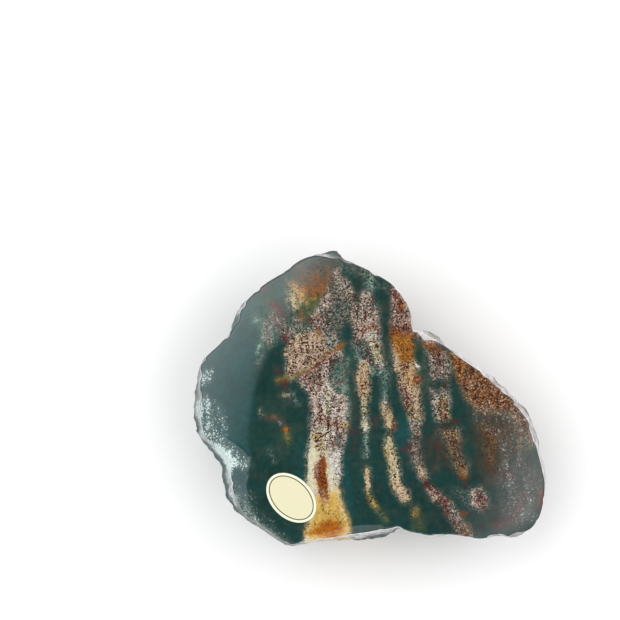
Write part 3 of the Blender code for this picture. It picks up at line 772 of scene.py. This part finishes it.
def break_planes(outline):
    """Each break as a plane: its outward normal, and how far it lies from the heart along that."""
    planes = []
    for azimuth, undercut, below_face in BREAKS:
        turn, tilt = math.radians(azimuth), math.radians(undercut)
        normal = Vector((math.cos(turn) * math.cos(tilt), math.sin(turn) * math.cos(tilt), -math.sin(tilt)))
        start = THICKNESS - below_face
        reach = max(normal.dot(Vector((p.x, p.y, start))) for p in outline)
        planes.append((normal, reach - normal.dot(HEART)))
    return planes


def met_plane(way, planes, grain):
    """The share of the way from the heart at which the first break is met, or 1 where none is."""
    share = 1.0
    for normal, reach in planes:
        slope = normal.dot(way)
        if slope > 0.0:
            share = lesser(share, reach / slope * (1.0 + grain), BREAK_SOFTNESS)
    return share


def scar_dishes(planes):
    """Each scar as a dish in the side: its centre, radius and depth."""
    dishes = []
    for azimuth, height, radius, depth in SCARS:
        turn = math.radians(azimuth)
        way = Vector((math.cos(turn) * BEYOND, math.sin(turn) * BEYOND, height - HEART.z))
        dishes.append((HEART + way * met_plane(way, planes, 0.0), radius, depth))
    return dishes


def broken_point(target, below_girth, planes, dishes):
    """The point that the breaks and scars leave on the way from the heart to target."""
    way = target - HEART
    grain = noise.noise(target * ROUGHNESS_GRAIN) * ROUGHNESS
    point = HEART + way * met_plane(way, planes, grain)
    depths = [depth * (1.0 - ((point - centre).length / radius) ** 2) for centre, radius, depth in dishes]
    dent = max(0.0, *depths) * ease(point.z / SCAR_FADE) * ease(below_girth / SCAR_FADE)
    return point - way.normalized() * dent


def chip(spot, size):
    """How deep a shell-shaped chip is at a spot, and how near that is to the ridge round it, both 0 to 1."""
    near, _ = noise.voronoi(spot / size)
    share = near[0] / near[1]
    return 1.0 - share * share, ease((share - RIDGE_FROM) / (1.0 - RIDGE_FROM))


def ripples(point, dishes):
    """The height of the ripples that run round inside the large scars, 0 to 1."""
    height = 0.0
    for centre, radius, _ in dishes:
        share = (point - centre).length / radius
        if share < 1.0:
            bend = RIPPLE_BEND * noise.noise(point * RIPPLE_BEND_GRAIN)
            wave = 0.5 + 0.5 * math.sin(share * radius / RIPPLE_STEP * math.tau + bend)
            height = max(height, wave * ease(2.0 * share) * ease(4.0 * (1.0 - share)))
    return height


def carved(point, inside, settings, dishes):
    """A point of the broken sides pushed in by chips, ripples and grit, and how bruised it is, 0 to 1.

    inside says how far it is from the nearest edge of the broken part, where the carving dies out.
    """
    spot = point + noise.noise_vector(point * CHIP_SHIFT_GRAIN) * CHIP_SHIFT
    patch = ease(PATCH_SHARE + PATCH_CONTRAST * noise.noise(point * PATCH_GRAIN))
    large, ridge = chip(spot, settings.chip_size / MM)
    small, small_ridge = chip(spot + HEART, settings.chip_size / MM * SMALL_CHIPS)
    grit = 0.5 + 0.5 * noise.fractal(point * GRIT_GRAIN, *GRIT_LAYERS)
    depth = settings.chip_depth / MM * (large * patch + small * SMALL_CHIPS * ease(SMALL_CHIPS_REACH - patch))
    depth += settings.ripple_depth / MM * ripples(point, dishes) + settings.grit_depth / MM * grit
    inward = (HEART - point).normalized()
    relief = ease(inside / RELIEF_FADE) * (RIM_RELIEF + (1.0 - RIM_RELIEF) * ease(inside / RIM_DEPTH))
    return point + inward * depth * relief, max(ridge * patch, SMALL_BRUISE * small_ridge)


def edge_points(corner):
    """From the middle of the face out to the girth, along one column."""
    nick = ease(EDGE_NICK_CONTRAST * noise.noise(Vector((corner.x, corner.y, 0.0)) * EDGE_NICK_GRAIN))
    rim = max(corner.z, LEAST_RIM) + EDGE_NICK * nick
    length = (corner.xy - MIDDLE).length
    outward = (corner.xy - MIDDLE) / length

    def on_face(inset, drop):
        x, y = MIDDLE + outward * (length - inset)
        return Vector((x, y, face_height(x, y) - shoulder_drop(x, y, inset - rim) - drop))

    polished = length - rim - EDGE_ROUND
    girth_drop = GIRTH_DROP + GIRTH_SLOPE * max(corner.z, LEAST_RIM)
    points = [on_face(length - polished * ring / FACE_RINGS, 0.0) for ring in range(FACE_RINGS + 1)]
    for ring in range(1, EDGE_RINGS + 1):
        turn = EDGE_ARC * ring / EDGE_RINGS
        out = math.sin(turn) / math.sin(EDGE_ARC)
        drop = (1.0 - math.cos(turn)) / (1.0 - math.cos(EDGE_ARC))
        points.append(on_face(rim + EDGE_ROUND * (1.0 - out), EDGE_DROP * drop))
    for ring in range(1, RIM_RINGS + 1):
        share = ring / RIM_RINGS
        points.append(on_face(rim * (1.0 - share), EDGE_DROP + (girth_drop - EDGE_DROP) * share))
    return points


def side_points(girth, relaxed, planes, dishes):
    """From the girth down the broken side to the edge of the flat foot, along one column."""
    outward = (girth.xy - MIDDLE).normalized()
    out = (girth.xy - MIDDLE).length

    def uncut(way):
        """A point of the unbroken block: way runs from 0 to 1 down its side, and on to 2 in underneath."""
        below = min(way, 1.0) * girth.z
        length = (out + (relaxed - out) * ease(below / RELAX_DEPTH)) * min(1.0, 2.0 - way)
        return Vector((*(MIDDLE + outward * length), girth.z - below))

    least, most = 1.0, 2.0
    for _ in range(FOOT_HALVINGS):
        middle = (least + most) / 2.0
        if met_plane(uncut(middle) - HEART, planes, 0.0) < 1.0:
            least = middle
        else:
            most = middle
    line = []
    for step in range(1, SIDE_STEPS):
        target = uncut(most * step / SIDE_STEPS)
        line.append(broken_point(target, girth.z - target.z, planes, dishes))
    return even_steps([girth, *line, uncut(most)], SIDE_RINGS)[1:]


def stone_column(corner, relaxed, settings, planes, dishes):
    """One column of the net, from the middle of the face to the middle of the back.

    It is given as its points, how bruised they are, and how near they are to the polished edge, 0 to 1.
    """
    top = edge_points(corner)
    smooth = FACE_RINGS + EDGE_RINGS + 1
    points = top[:smooth]
    bruises = [0.0] * smooth
    rims = [1.0] * smooth
    edge = points[-1]
    side = side_points(top[-1], relaxed, planes, dishes)
    foot = side[-1]
    for point in top[smooth:] + side[:-1]:
        below = (point - edge).length
        point, bruise = carved(point, min(below, (point - foot).length), settings, dishes)
        points.append(point)
        bruises.append(bruise)
        rims.append(max(1.0 - below / RIM_DEPTH, 0.0))
    centre = Vector((*MIDDLE, 0.0))
    for ring in range(FOOT_RINGS + 1):
        points.append(foot.lerp(centre, ring / FOOT_RINGS))
        bruises.append(FOOT_BRUISE)
        rims.append(0.0)
    return points, bruises, rims


def globe_mesh(name, points, layers):
    """A closed skin with the net of a globe, from its knots' places and named values by column and row."""
    columns, rows = points.shape[0], points.shape[1] - 1
    net = bmesh.new()
    bmesh.ops.create_uvsphere(net, u_segments=columns, v_segments=rows, radius=1.0)
    slots = [(net.verts.layers.float.new(key), values) for key, values in layers.items()]
    for knot in net.verts:
        row = round(math.acos(max(-1.0, min(1.0, knot.co.z))) / math.pi * rows)
        column = round(math.atan2(knot.co.y, knot.co.x) / math.tau * columns) % columns
        knot.co = points[column, row] * MM
        for slot, values in slots:
            knot[slot] = values[column, row]
    mesh = bpy.data.meshes.new(name)
    net.to_mesh(mesh)
    net.free()
    mesh.shade_smooth()
    mesh.set_sharp_from_angle(angle=SHARP_FROM)
    return mesh


def add_piece(name, mesh, finish, replaced):
    """Adds a piece of the object, which stands for a CAD node."""
    piece = bpy.data.objects.new(name, mesh)
    bpy.context.scene.collection.objects.link(piece)
    mesh.materials.append(finish.material)
    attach(piece, "root")
    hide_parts(replaced)


# Bands

def streak_depth(spots, points):
    """How far inside a streak each spot lies, below nought outside it."""
    depth = np.full(len(spots), -np.inf)
    for start, end in zip(points, points[1:]):
        from_start = spots - start[:2]
        along = np.subtract(end[:2], start[:2])
        share = np.clip(from_start @ along / (along @ along), 0.0, 1.0)
        away = np.linalg.norm(from_start - share[:, None] * along, axis=1)
        depth = np.maximum(depth, start[2] + (end[2] - start[2]) * share - away)
    return depth


def patch_depth(spots, corners):
    """How far inside a patch each spot lies, below nought outside it."""
    away = np.full(len(spots), np.inf)
    inside = np.zeros(len(spots), bool)
    for start, end in zip(corners, corners[1:] + corners[:1]):
        along = np.subtract(end, start)
        from_start = spots - start
        share = np.clip(from_start @ along / (along @ along), 0.0, 1.0)
        away = np.minimum(away, np.linalg.norm(from_start - share[:, None] * along, axis=1))
        between = (from_start[:, 1] < 0.0) != (spots[:, 1] < end[1])
        if along[1]:
            inside ^= between & (from_start[:, 0] < from_start[:, 1] * along[0] / along[1])
    return np.where(inside, away, -away)


def covered(depth, width):
    """How strongly a mark covers spots that lie at a depth inside it, 0 to 1, with an edge of a width."""
    share = np.clip(depth / width + 0.5, 0.0, 1.0)
    return share * share * (3.0 - 2.0 * share)


def mark_cover(spots, soft_edge, shape):
    """How strongly a mark covers each spot, with its edge and the wider skirt round it, 0 to 1."""
    depth = streak_depth(spots, shape) if len(shape[0]) == 3 else patch_depth(spots, shape)
    width = soft_edge * EDGE_SPREAD
    return covered(depth, width) * (1.0 - SKIRT) + covered(depth, width + SKIRT_WIDTH) * SKIRT


def sheet_spots(points):
    """Where the band sheet lies at each point of the stone, and how streaky the bands are there."""
    x, y, z = points.T
    bulge = (x / PILLOW_HALF_SIZE.x) ** 2 + (y / PILLOW_HALF_SIZE.y) ** 2
    below = np.maximum(THICKNESS - PILLOW_DROP * bulge * bulge - z, 0.0)
    spots = np.column_stack((x - below * BAND_LEAN[0], y - below * BAND_LEAN[1]))
    breadth, length = STREAK_LENGTHS
    streaks = np.array([noise.noise(Vector((x / breadth, y / length, 0.0))) for x, y in spots])
    for length, amount in SHEET_SHIFTS:
        spots += [noise.noise_vector(Vector(point) / length).xy * amount for point in points]
    across = spots[:, 0] / SHEET_STEP + SHEET_ORIGIN[0]
    down = SHEET_ORIGIN[1] - spots[:, 1] / SHEET_STEP
    return np.column_stack((across, down)), streaks


def drawn_layers(points):
    """The amount and tone of each layer at each point, as its marks draw them."""
    spots, streaks = sheet_spots(points)
    drawn = {}
    for layer, marks in MARKS.items():
        amount = np.zeros(len(points))
        toned = np.zeros(len(points))  # the amount times the tone
        for *tones, mark_amount, soft_edge, shape in marks:
            cover = mark_cover(spots, soft_edge, shape)
            amount += (mark_amount - amount) * cover
            for tone in tones:
                toned += (mark_amount * tone - toned) * cover
        if layer == "ground":
            drawn["ground_tone"] = toned + (1.0 - amount) * DEEP
            continue
        drawn[layer] = np.clip(amount + 4.0 * amount * (1.0 - amount) * STREAK_DEPTH * streaks, 0.0, 1.0)
        if toned.any():
            drawn[layer + "_tone"] = toned / np.maximum(amount, LEAST_AMOUNT)
    return drawn


def draw_bands(mesh):
    """Stores the drawn layers on the mesh, a value for each of its points."""
    places = np.zeros(len(mesh.vertices) * 3, np.float32)
    mesh.vertices.foreach_get("co", places)
    for name, values in drawn_layers(places.reshape(-1, 3) / MM).items():
        mesh.attributes.new(name, "FLOAT", "POINT").data.foreach_set("value", values.astype(np.float32))


# Finishes

class Field:
    """A value that changes over a surface. It wraps a socket, and sums on it add Math nodes."""

    def __init__(self, finish, socket):
        self.finish = finish
        self.socket = socket

    def worked(self, operation, *others, clamp=False):
        """The result of a Math node on this value and others."""
        settings = {"operation": operation, "use_clamp": clamp}
        return self.finish.node("ShaderNodeMath", settings, dict(enumerate((self, *others))))

    def __add__(self, other):
        return self.worked("ADD", other)

    def __sub__(self, other):
        return self.worked("SUBTRACT", other)

    def __mul__(self, other):
        return self.worked("MULTIPLY", other)

    def __truediv__(self, other):
        return self.worked("DIVIDE", other)

    def __rsub__(self, other):
        return self.worked("MULTIPLY_ADD", -1.0, other)

    def __abs__(self):
        return self.worked("ABSOLUTE")

    __radd__ = __add__
    __rmul__ = __mul__

    def held(self):
        """The same value kept between 0 and 1."""
        return self.worked("ADD", 0.0, clamp=True)

    def beside(self, output):
        """Another output of the node that this value comes from."""
        return Field(self.finish, self.socket.node.outputs[output])


class Finish:
    """A material or a world in the making."""

    def __init__(self, kind, name):
        self.material = kind.new(name)
        self.material.use_nodes = True
        self.tree = self.material.node_tree

    def node(self, kind, settings=None, inputs=None, output=0):
        """Adds a node with its settings and the values or links of its sockets, and gives one output."""
        node = self.tree.nodes.new(kind)
        for name, value in (settings or {}).items():
            if name == "stops":
                set_stops(node.color_ramp, value)
            else:
                setattr(node, name, value)
        self.fill(node, inputs or {})
        return Field(self, node.outputs[output])

    def fill(self, node, inputs):
        for name, value in inputs.items():
            if isinstance(value, Field):
                self.tree.links.new(value.socket, node.inputs[name])
            else:
                node.inputs[name].default_value = value

    def fill_shader(self, kind, inputs):
        """Fills sockets of the shader that the material or world came with."""
        self.fill(self.tree.nodes[kind], inputs)

    def mixed(self, share, under, over):
        """Two colours mixed."""
        inputs = {MIX_SHARE: share, MIX_UNDER: under, MIX_OVER: over}
        return self.node("ShaderNodeMix", {"data_type": "RGBA"}, inputs, MIX_COLOUR)

    def lit(self, colour, factor):
        """A colour made lighter or darker by a factor."""
        return self.node("ShaderNodeVectorMath", {"operation": "SCALE"}, {"Vector": colour, "Scale": factor})

    def drawn(self, name):
        """A value stored on the mesh."""
        return self.node("ShaderNodeAttribute", {"attribute_name": name}, output="Fac")

    def cloud(self, place, size, detail=2.0, output="Fac"):
        """Soft noise with clouds of a size."""
        inputs = {"Vector": place, "Scale": 1.0 / size, "Detail": detail}
        return self.node("ShaderNodeTexNoise", {}, inputs, output)

    def clouds(self, place, size, detail=2.0):
        """Three unlike soft noises with clouds of a size."""
        return self.parts(self.cloud(place, size, detail, "Color"))

    def grains(self, place, size):
        """Grains of a size: three random values, each the same all over a grain."""
        inputs = {"Vector": place, "Scale": 1.0 / size}
        return self.parts(self.node("ShaderNodeTexVoronoi", {}, inputs, "Color"))

    def parts(self, colour):
        """The red, green and blue of a colour."""
        red = self.node("ShaderNodeSeparateColor", {}, {"Color": colour}, "Red")
        return red, red.beside("Green"), red.beside("Blue")

    def toned(self, tone, *colours):
        """A colour picked by its tone from a row of colours at even steps from 0 to 1."""
        stops = [(i / (len(colours) - 1), (*colour, 1.0)) for i, colour in enumerate(colours)]
        return self.node("ShaderNodeValToRGB", {"stops": stops}, {"Fac": tone})


def set_stops(ramp, stops):
    for position, _ in stops[2:]:
        ramp.elements.new(position)
    for element, (position, colour) in zip(ramp.elements, stops):
        element.position = position
        element.color = colour


def crisp_share(amount, pick):
    """How far a grain shows, by its random value, so that a share of them as large as amount shows fully."""
    return ((amount * (1.0 + GRAIN_SOFTNESS) - pick.held()) / GRAIN_SOFTNESS).held()


def faded_share(amount, pick):
    """How far a grain shows, by its random value, so that all show by about the same amount."""
    return (amount + (0.5 - pick) * (1.0 - abs(2.0 * amount - 1.0)) * GRAIN_CONTRAST).held()


def clumped(pick, clump):
    """A random value that differs from grain to grain, yet is high in some clumps and low in others."""
    return pick * PICK_SPREAD + clump * CLUMP_SPREAD + (0.5 - 0.5 * (PICK_SPREAD + CLUMP_SPREAD))


def ground_colour(finish, place, clump, settings):
    """The base greens, with their soft stains."""
    mottle = finish.cloud(place, MOTTLE_SIZE, 3.0)
    cloud = finish.cloud(place, CLOUD_SIZE)
    tone = finish.drawn("ground_tone") + (mottle - 0.5) * MOTTLE_TONE
    greens = settings.teal, settings.deep_green, settings.grey_green, settings.brown, settings.olive
    light = GROUND_DARKEST + CLOUD_LIGHT * cloud + MOTTLE_LIGHT * mottle + CLUMP_LIGHT * clump
    ground = finish.lit(finish.toned(tone, *greens), light)
    mist = finish.toned(finish.drawn("mist_tone"), settings.fresh, settings.gold, settings.amber)
    wisp_inputs = {"Vector": place, "Scale": 1.0 / WISP_SIZE, "Detail": 3.0, "Distortion": WISP_BEND}
    wisp = finish.node("ShaderNodeTexNoise", {}, wisp_inputs)
    wispy = (WISP_SHARE + (wisp - 0.5) * WISP_CONTRAST).held()
    return finish.mixed(finish.drawn("mist") * wispy, ground, mist)


def banded_colour(finish, ground, grains, fine_grains, clumps, settings):
    """The ground with its pale grains, its warm grains and its dark specks."""
    pale_pick, warm_pick, shade_pick = grains
    speck_pick, _, fine_shade = fine_grains
    spread = shade_pick - 0.5
    speck_amount = finish.drawn("speck")
    light = BRIGHTEST - fine_shade * (LEAST_SHADE + speck_amount * SPECK_SHADE)
    pales = settings.mint, settings.dusk, settings.rose, settings.white
    pales += settings.cream, settings.straw, settings.beige
    warms = settings.ochre, settings.orange, settings.rust, settings.blood
    pale = finish.lit(finish.toned(finish.drawn("pale_tone") + spread * PALE_TONE_SPREAD, *pales), light)
    warm = finish.lit(finish.toned(finish.drawn("warm_tone") + spread * WARM_TONE_SPREAD, *warms), light)
    speck_tone = finish.drawn("speck_tone") + spread * SPECK_TONE_SPREAD
    speck = finish.toned(speck_tone, settings.black, settings.umber, settings.maroon)
    colour = finish.mixed(faded_share(finish.drawn("pale"), clumped(pale_pick, clumps[0])), ground, pale)
    colour = finish.mixed(faded_share(finish.drawn("warm"), clumped(warm_pick, clumps[1])), colour, warm)
    return finish.mixed(crisp_share(speck_amount, clumped(speck_pick, clumps[2])), colour, speck)


def near_line(value, width):
    """1 where a value is 0.5, falling to 0 where it is a width away."""
    return (1.0 - abs(value - 0.5) / width).held()


def crusted_colour_with_painted_light(finish, place, colour, crusted, near_edge, patch, clump, settings):
    """The colour under the pale bruised skin of the broken sides, with painted shade in its creases and a
    painted highlight along the edge of the polish, partly its pale bruised edge, and on the ridges between
    creases.
    """
    fine_patch = finish.cloud(place, CRUST_FINE_SIZE) - 0.5
    crust = CRUST_LEAST + CRUST_RIM * near_edge + CRUST_BRUISE * finish.drawn("bruise")
    crust = crust + CRUST_SPREAD * patch + CRUST_FINE_SPREAD * fine_patch
    crust_colour = finish.mixed(near_edge, (*settings.bruise, 1.0), (*settings.crust, 1.0))
    colour = finish.mixed(crusted * crust.held(), colour, crust_colour)
    squashed = finish.node("ShaderNodeVectorMath", {"operation": "MULTIPLY"}, {0: place, 1: CREASE_SQUASH})
    shaded_fold, highlight_fold, _ = finish.clouds(squashed, CREASE_SIZE, 3.0)
    # Painted shade: dark lines along the creases
    crease_shade = near_line(shaded_fold, CREASE_WIDTH) * near_edge * crusted
    colour = finish.mixed(crease_shade * CREASE_SHADE_DEPTH, colour, (*settings.crease_shade, 1.0))
    # Painted highlight along the edge of the polish, partly its pale bruised edge, and on the ridges between
    # creases
    brink_highlight = ((finish.drawn("rim") - BRINK_FROM) / (1.0 - BRINK_FROM)).held()
    brink_highlight = brink_highlight * (BRINK_LEAST + BRINK_CLUMPS * clump)
    glint = near_line(highlight_fold, CREASE_WIDTH) * near_edge
    return finish.mixed((brink_highlight + glint).held() * crusted * HIGHLIGHT_SHARE, colour, (*settings.brink_highlight, 1.0))


def stone_finish(settings):
    """Green chalcedony with its bands, glassy where polished, dull and pale where broken."""
    finish = Finish(bpy.data.materials, "bloodstone")
    place = finish.node("ShaderNodeTexCoord", output="Object")
    shift = finish.cloud(place, GRAIN_SHIFT_SIZE, 1.0, "Color")
    shift_inputs = {0: shift, 1: (GRAIN_SHIFT,) * 3, 2: place}
    shifted = finish.node("ShaderNodeVectorMath", {"operation": "MULTIPLY_ADD"}, shift_inputs)
    grains = finish.grains(shifted, settings.grain_size)
    fine_grains = finish.grains(shifted, settings.speck_size)
    clumps = finish.clouds(place, CLUMP_SIZE)
    broken = 1.0 - finish.drawn("polish")
    patch = finish.cloud(place, CRUST_SIZE, 4.0) - 0.5
    near_edge = (RIM_SLOPE * finish.drawn("rim") - RIM_END + RIM_RAGGED * patch).held()

    colour = ground_colour(finish, place, clumps[1], settings)
    colour = banded_colour(finish, colour, grains, fine_grains, clumps, settings)
    crusted = broken * (1.0 - finish.drawn("bare"))
    colour = crusted_colour_with_painted_light(finish, place, colour, crusted, near_edge, patch, clumps[0], settings)
    frost_amount = finish.drawn("frost") * near_edge
    frost = crisp_share(frost_amount, clumped(fine_grains[1], clumps[1])) * (1.0 - FROST_HAZE)
    frost = frost + frost_amount * (2.0 * clumps[2]) * FROST_HAZE
    frost_colour = finish.lit(settings.frost, FROST_DARKEST + FROST_CLUMPS * clumps[2])
    colour = finish.mixed(frost.held(), colour, frost_colour)

    unpolished = (broken + frost).held()
    grit = finish.cloud(place, GRIT_SIZE, 3.0) * unpolished
    bump = {"Strength": GRIT_STRENGTH, "Distance": GRIT_HEIGHT, "Height": grit}
    roughening = settings.broken_roughness - settings.polish_roughness
    finish.fill_shader("Principled BSDF", {
        "Base Color": colour,
        "Roughness": settings.polish_roughness + roughening * unpolished,
        "IOR": CHALCEDONY_IOR,
        "Normal": finish.node("ShaderNodeBump", {}, bump),
    })
    return finish


def paper_finish(settings):
    """Matt cream paper with a thin oval printed near its edge."""
    finish = Finish(bpy.data.materials, "sticker_paper")
    place = finish.node("ShaderNodeTexCoord", output="Object")
    fibre = finish.cloud(place, FIBRE_SIZE, 4.0)
    half = settings.line_width / MM / 2.0
    off_line = finish.drawn("inset") - settings.line_inset / MM
    field = (off_line / LINE_SOFTNESS).held()
    paper = finish.mixed(field, (*settings.border, 1.0), (*settings.field, 1.0))
    ink = ((half - abs(off_line)) / LINE_SOFTNESS + 0.5).held() * (INK_LEAST + INK_FIBRES * fibre)
    paper = finish.mixed(ink, paper, (*settings.line, 1.0))
    bump = {"Strength": FIBRE_STRENGTH, "Distance": FIBRE_HEIGHT, "Height": fibre}
    finish.fill_shader("Principled BSDF", {
        "Base Color": finish.lit(paper, PAPER_DARKEST + PAPER_FIBRES * fibre),
        "Roughness": PAPER_ROUGHNESS,
        "Normal": finish.node("ShaderNodeBump", {}, bump),
    })
    return finish


# Pieces

def stone_mesh(settings):
    """The whole stone, its bands drawn on it."""
    noise.seed_set(NOISE_SEED)
    outline = outline_points(settings.columns)
    planes = break_planes(outline)
    dishes = scar_dishes(planes)
    columns = [
        stone_column(corner, relaxed, settings, planes, dishes)
        for corner, relaxed in zip(outline, relaxed_lengths(outline))
    ]
    points = np.array([[tuple(point) for point in points] for points, _, _ in columns])
    bruises = np.array([bruises for _, bruises, _ in columns])
    rims = np.array([rims for _, _, rims in columns])
    polish = np.zeros_like(bruises)
    polish[:, :FACE_RINGS + EDGE_RINGS - 1] = 1.0
    mesh = globe_mesh("stone_skin", points, {"polish": polish, "bruise": bruises, "rim": rims})
    draw_bands(mesh)
    return mesh


def label_mesh(settings):
    """The sticker: a thin oval sheet that follows the face under it."""
    half = Vector((settings.length, settings.breadth)) / MM / 2.0
    along_label = Matrix.Rotation(LABEL_TURN, 2)
    low, high = settings.gap / MM, (settings.gap + settings.paper) / MM
    widest = half.y - LABEL_RINGS[-1]
    rows = [(LABEL_RINGS[-1] + widest, high)]
    rows += [(inset, high) for inset in LABEL_RINGS[::-1]]
    rows += [(inset, low) for inset in LABEL_RINGS[::3]]
    rows += [(LABEL_RINGS[-1] + widest, low)]
    points = np.zeros((LABEL_COLUMNS, len(rows), 3))
    insets = np.zeros((LABEL_COLUMNS, len(rows)))
    for column in range(LABEL_COLUMNS):
        turn = math.tau * column / LABEL_COLUMNS
        for row, (inset, height) in enumerate(rows):
            inner = 0.0 if row in (0, len(rows) - 1) else 1.0
            reach = Vector((math.cos(turn) * (half.x - inset), math.sin(turn) * (half.y - inset))) * inner
            x, y = LABEL_CENTRE + along_label @ reach
            wave = 0.5 + noise.noise(Vector((x, y, 0.0)) * LABEL_CURL_GRAIN)
            lift = max(LABEL_CURL * ease(1.0 - inset) * wave, 0.0)
            points[column, row] = x, y, face_height(x, y) + height + lift
            insets[column, row] = inset if height == high else 0.0
    return globe_mesh("label_sheet", points, {"inset": insets})


def light_tent(settings):
    """A white tent with a dark ceiling, where the camera looks in, and a soft box at each side of it."""
    tent = Finish(bpy.data.worlds, "light_tent")
    way = tent.node("ShaderNodeTexCoord", output="Generated")
    across = tent.node("ShaderNodeSeparateXYZ", {}, {"Vector": way}, "X")
    along, up = across.beside("Y"), across.beside("Z")
    away = (1.0 - up * up).held().worked("SQRT")
    stops = [(position, (level, level, level, 1.0)) for position, level in WALL_LEVELS]
    walls = tent.node("ShaderNodeValToRGB", {"stops": stops}, {"Fac": away})

    boxes = ((BOXES_END - away) / BOXES_FADE).held()
    left = ((along * LEFT_BOX_SLANT - across) * LEFT_BOX_RISE).held() * LEFT_BOX_LIGHT
    left = left * ((along + LEFT_BOX_END) * LEFT_BOX_END_RISE).held()
    past_corner = (along - LEFT_BOX_CORNER).held()
    inside = along * LEFT_BOX_EDGE_SLANT - past_corner * LEFT_BOX_CORNER_TURN - across + LEFT_BOX_EDGE
    left = left * (inside / (past_corner * LEFT_BOX_CORNER_BLUR + LEFT_BOX_EDGE_BLUR) + 0.5).held()
    right = ((across - RIGHT_BOX_FROM) * RIGHT_BOX_RISE).held() * RIGHT_BOX_LIGHT
    light = (walls + (left + right) * boxes) * settings.tent_light
    tent.fill_shader("Background", {"Color": (1.0, 1.0, 1.0, 1.0), "Strength": light})
    bpy.context.scene.world = tent.material


def add_light(name, place, turn, size, power):
    """A flat rectangular light, size wide and long, turned about its own middle."""
    data = bpy.data.lights.new(name, "AREA")
    data.shape = "RECTANGLE"
    data.size, data.size_y = size
    data.energy = power
    light = bpy.data.objects.new(name, data)
    light.location = place
    light.rotation_euler = turn
    light.visible_camera = False
    bpy.context.scene.collection.objects.link(light)


def add_floor(settings):
    half = settings.floor_breadth / 2.0
    corners = ((-half, -half, 0.0), (half, -half, 0.0), (half, half, 0.0), (-half, half, 0.0))
    mesh = bpy.data.meshes.new("floor")
    mesh.from_pydata(corners, [], [(0, 1, 2, 3)])
    finish = Finish(bpy.data.materials, "floor")
    inputs = {"Base Color": (*settings.floor_colour, 1.0), "Roughness": FLOOR_ROUGHNESS}
    finish.fill_shader("Principled BSDF", inputs)
    mesh.materials.append(finish.material)
    floor = bpy.data.objects.new("floor", mesh)
    bpy.context.scene.collection.objects.link(floor)


def add_camera(settings):
    """A camera straight above the stone, at the photograph's spot and scale."""
    data = bpy.data.cameras.new("camera")
    data.lens = settings.lens
    data.sensor_width = SENSOR
    camera = bpy.data.objects.new("camera", data)
    height = THICKNESS * MM + settings.sight * settings.lens / SENSOR
    camera.location = (CAMERA_SPOT.x * MM, CAMERA_SPOT.y * MM, height)
    bpy.context.scene.collection.objects.link(camera)
    bpy.context.scene.camera = camera


class BuildStone(bpy.types.Operator):
    """Build the stone with its bands"""

    bl_idname = "bloodstone.stone"
    bl_label = "Build stone"

    def execute(self, context):
        settings = context.scene.bloodstone_stone
        add_piece("bloodstone", stone_mesh(settings), stone_finish(settings), "stone")
        return {"FINISHED"}


class BuildLabel(bpy.types.Operator):
    """Build the oval paper sticker"""

    bl_idname = "bloodstone.label"
    bl_label = "Build sticker"

    def execute(self, context):
        settings = context.scene.bloodstone_label
        add_piece("sticker", label_mesh(settings), paper_finish(settings), "label")
        return {"FINISHED"}


class BuildStage(bpy.types.Operator):
    """Build the floor, the lights and the camera"""

    bl_idname = "bloodstone.stage"
    bl_label = "Build stage"

    def execute(self, context):
        settings = context.scene.bloodstone_stage
        add_floor(settings)
        light_tent(settings)
        for name, place, turn in SIDE_LIGHTS:
            add_light(name, place, turn, SIDE_LIGHT_SIZE, settings.side_light)
        add_camera(settings)
        context.scene.view_settings.view_transform = "Standard"
        return {"FINISHED"}


SETTINGS = (
    ("bloodstone_stone", StoneSettings, BuildStone),
    ("bloodstone_label", LabelSettings, BuildLabel),
    ("bloodstone_stage", StageSettings, BuildStage),
)


class BloodstonePanel(bpy.types.Panel):
    """Sizes, colours and build buttons of the bloodstone"""

    bl_idname = "VIEW3D_PT_bloodstone"
    bl_label = "Bloodstone"
    bl_space_type = "VIEW_3D"
    bl_region_type = "UI"
    bl_category = "Bloodstone"

    def draw(self, context):
        for place, group, operator in SETTINGS:
            box = self.layout.box()
            box.operator(operator.bl_idname)
            for name in group.__annotations__:
                box.prop(getattr(context.scene, place), name)


def register():
    for place, group, operator in SETTINGS:
        bpy.utils.register_class(group)
        bpy.utils.register_class(operator)
        setattr(bpy.types.Scene, place, bpy.props.PointerProperty(type=group))
    bpy.utils.register_class(BloodstonePanel)


def unregister():
    bpy.utils.unregister_class(BloodstonePanel)
    for place, group, operator in SETTINGS:
        delattr(bpy.types.Scene, place)
        bpy.utils.unregister_class(operator)
        bpy.utils.unregister_class(group)


def main():
    register()
    bpy.ops.bloodstone.stone()
    bpy.ops.bloodstone.label()
    bpy.ops.bloodstone.stage()


if __name__ == "__main__":
    main()
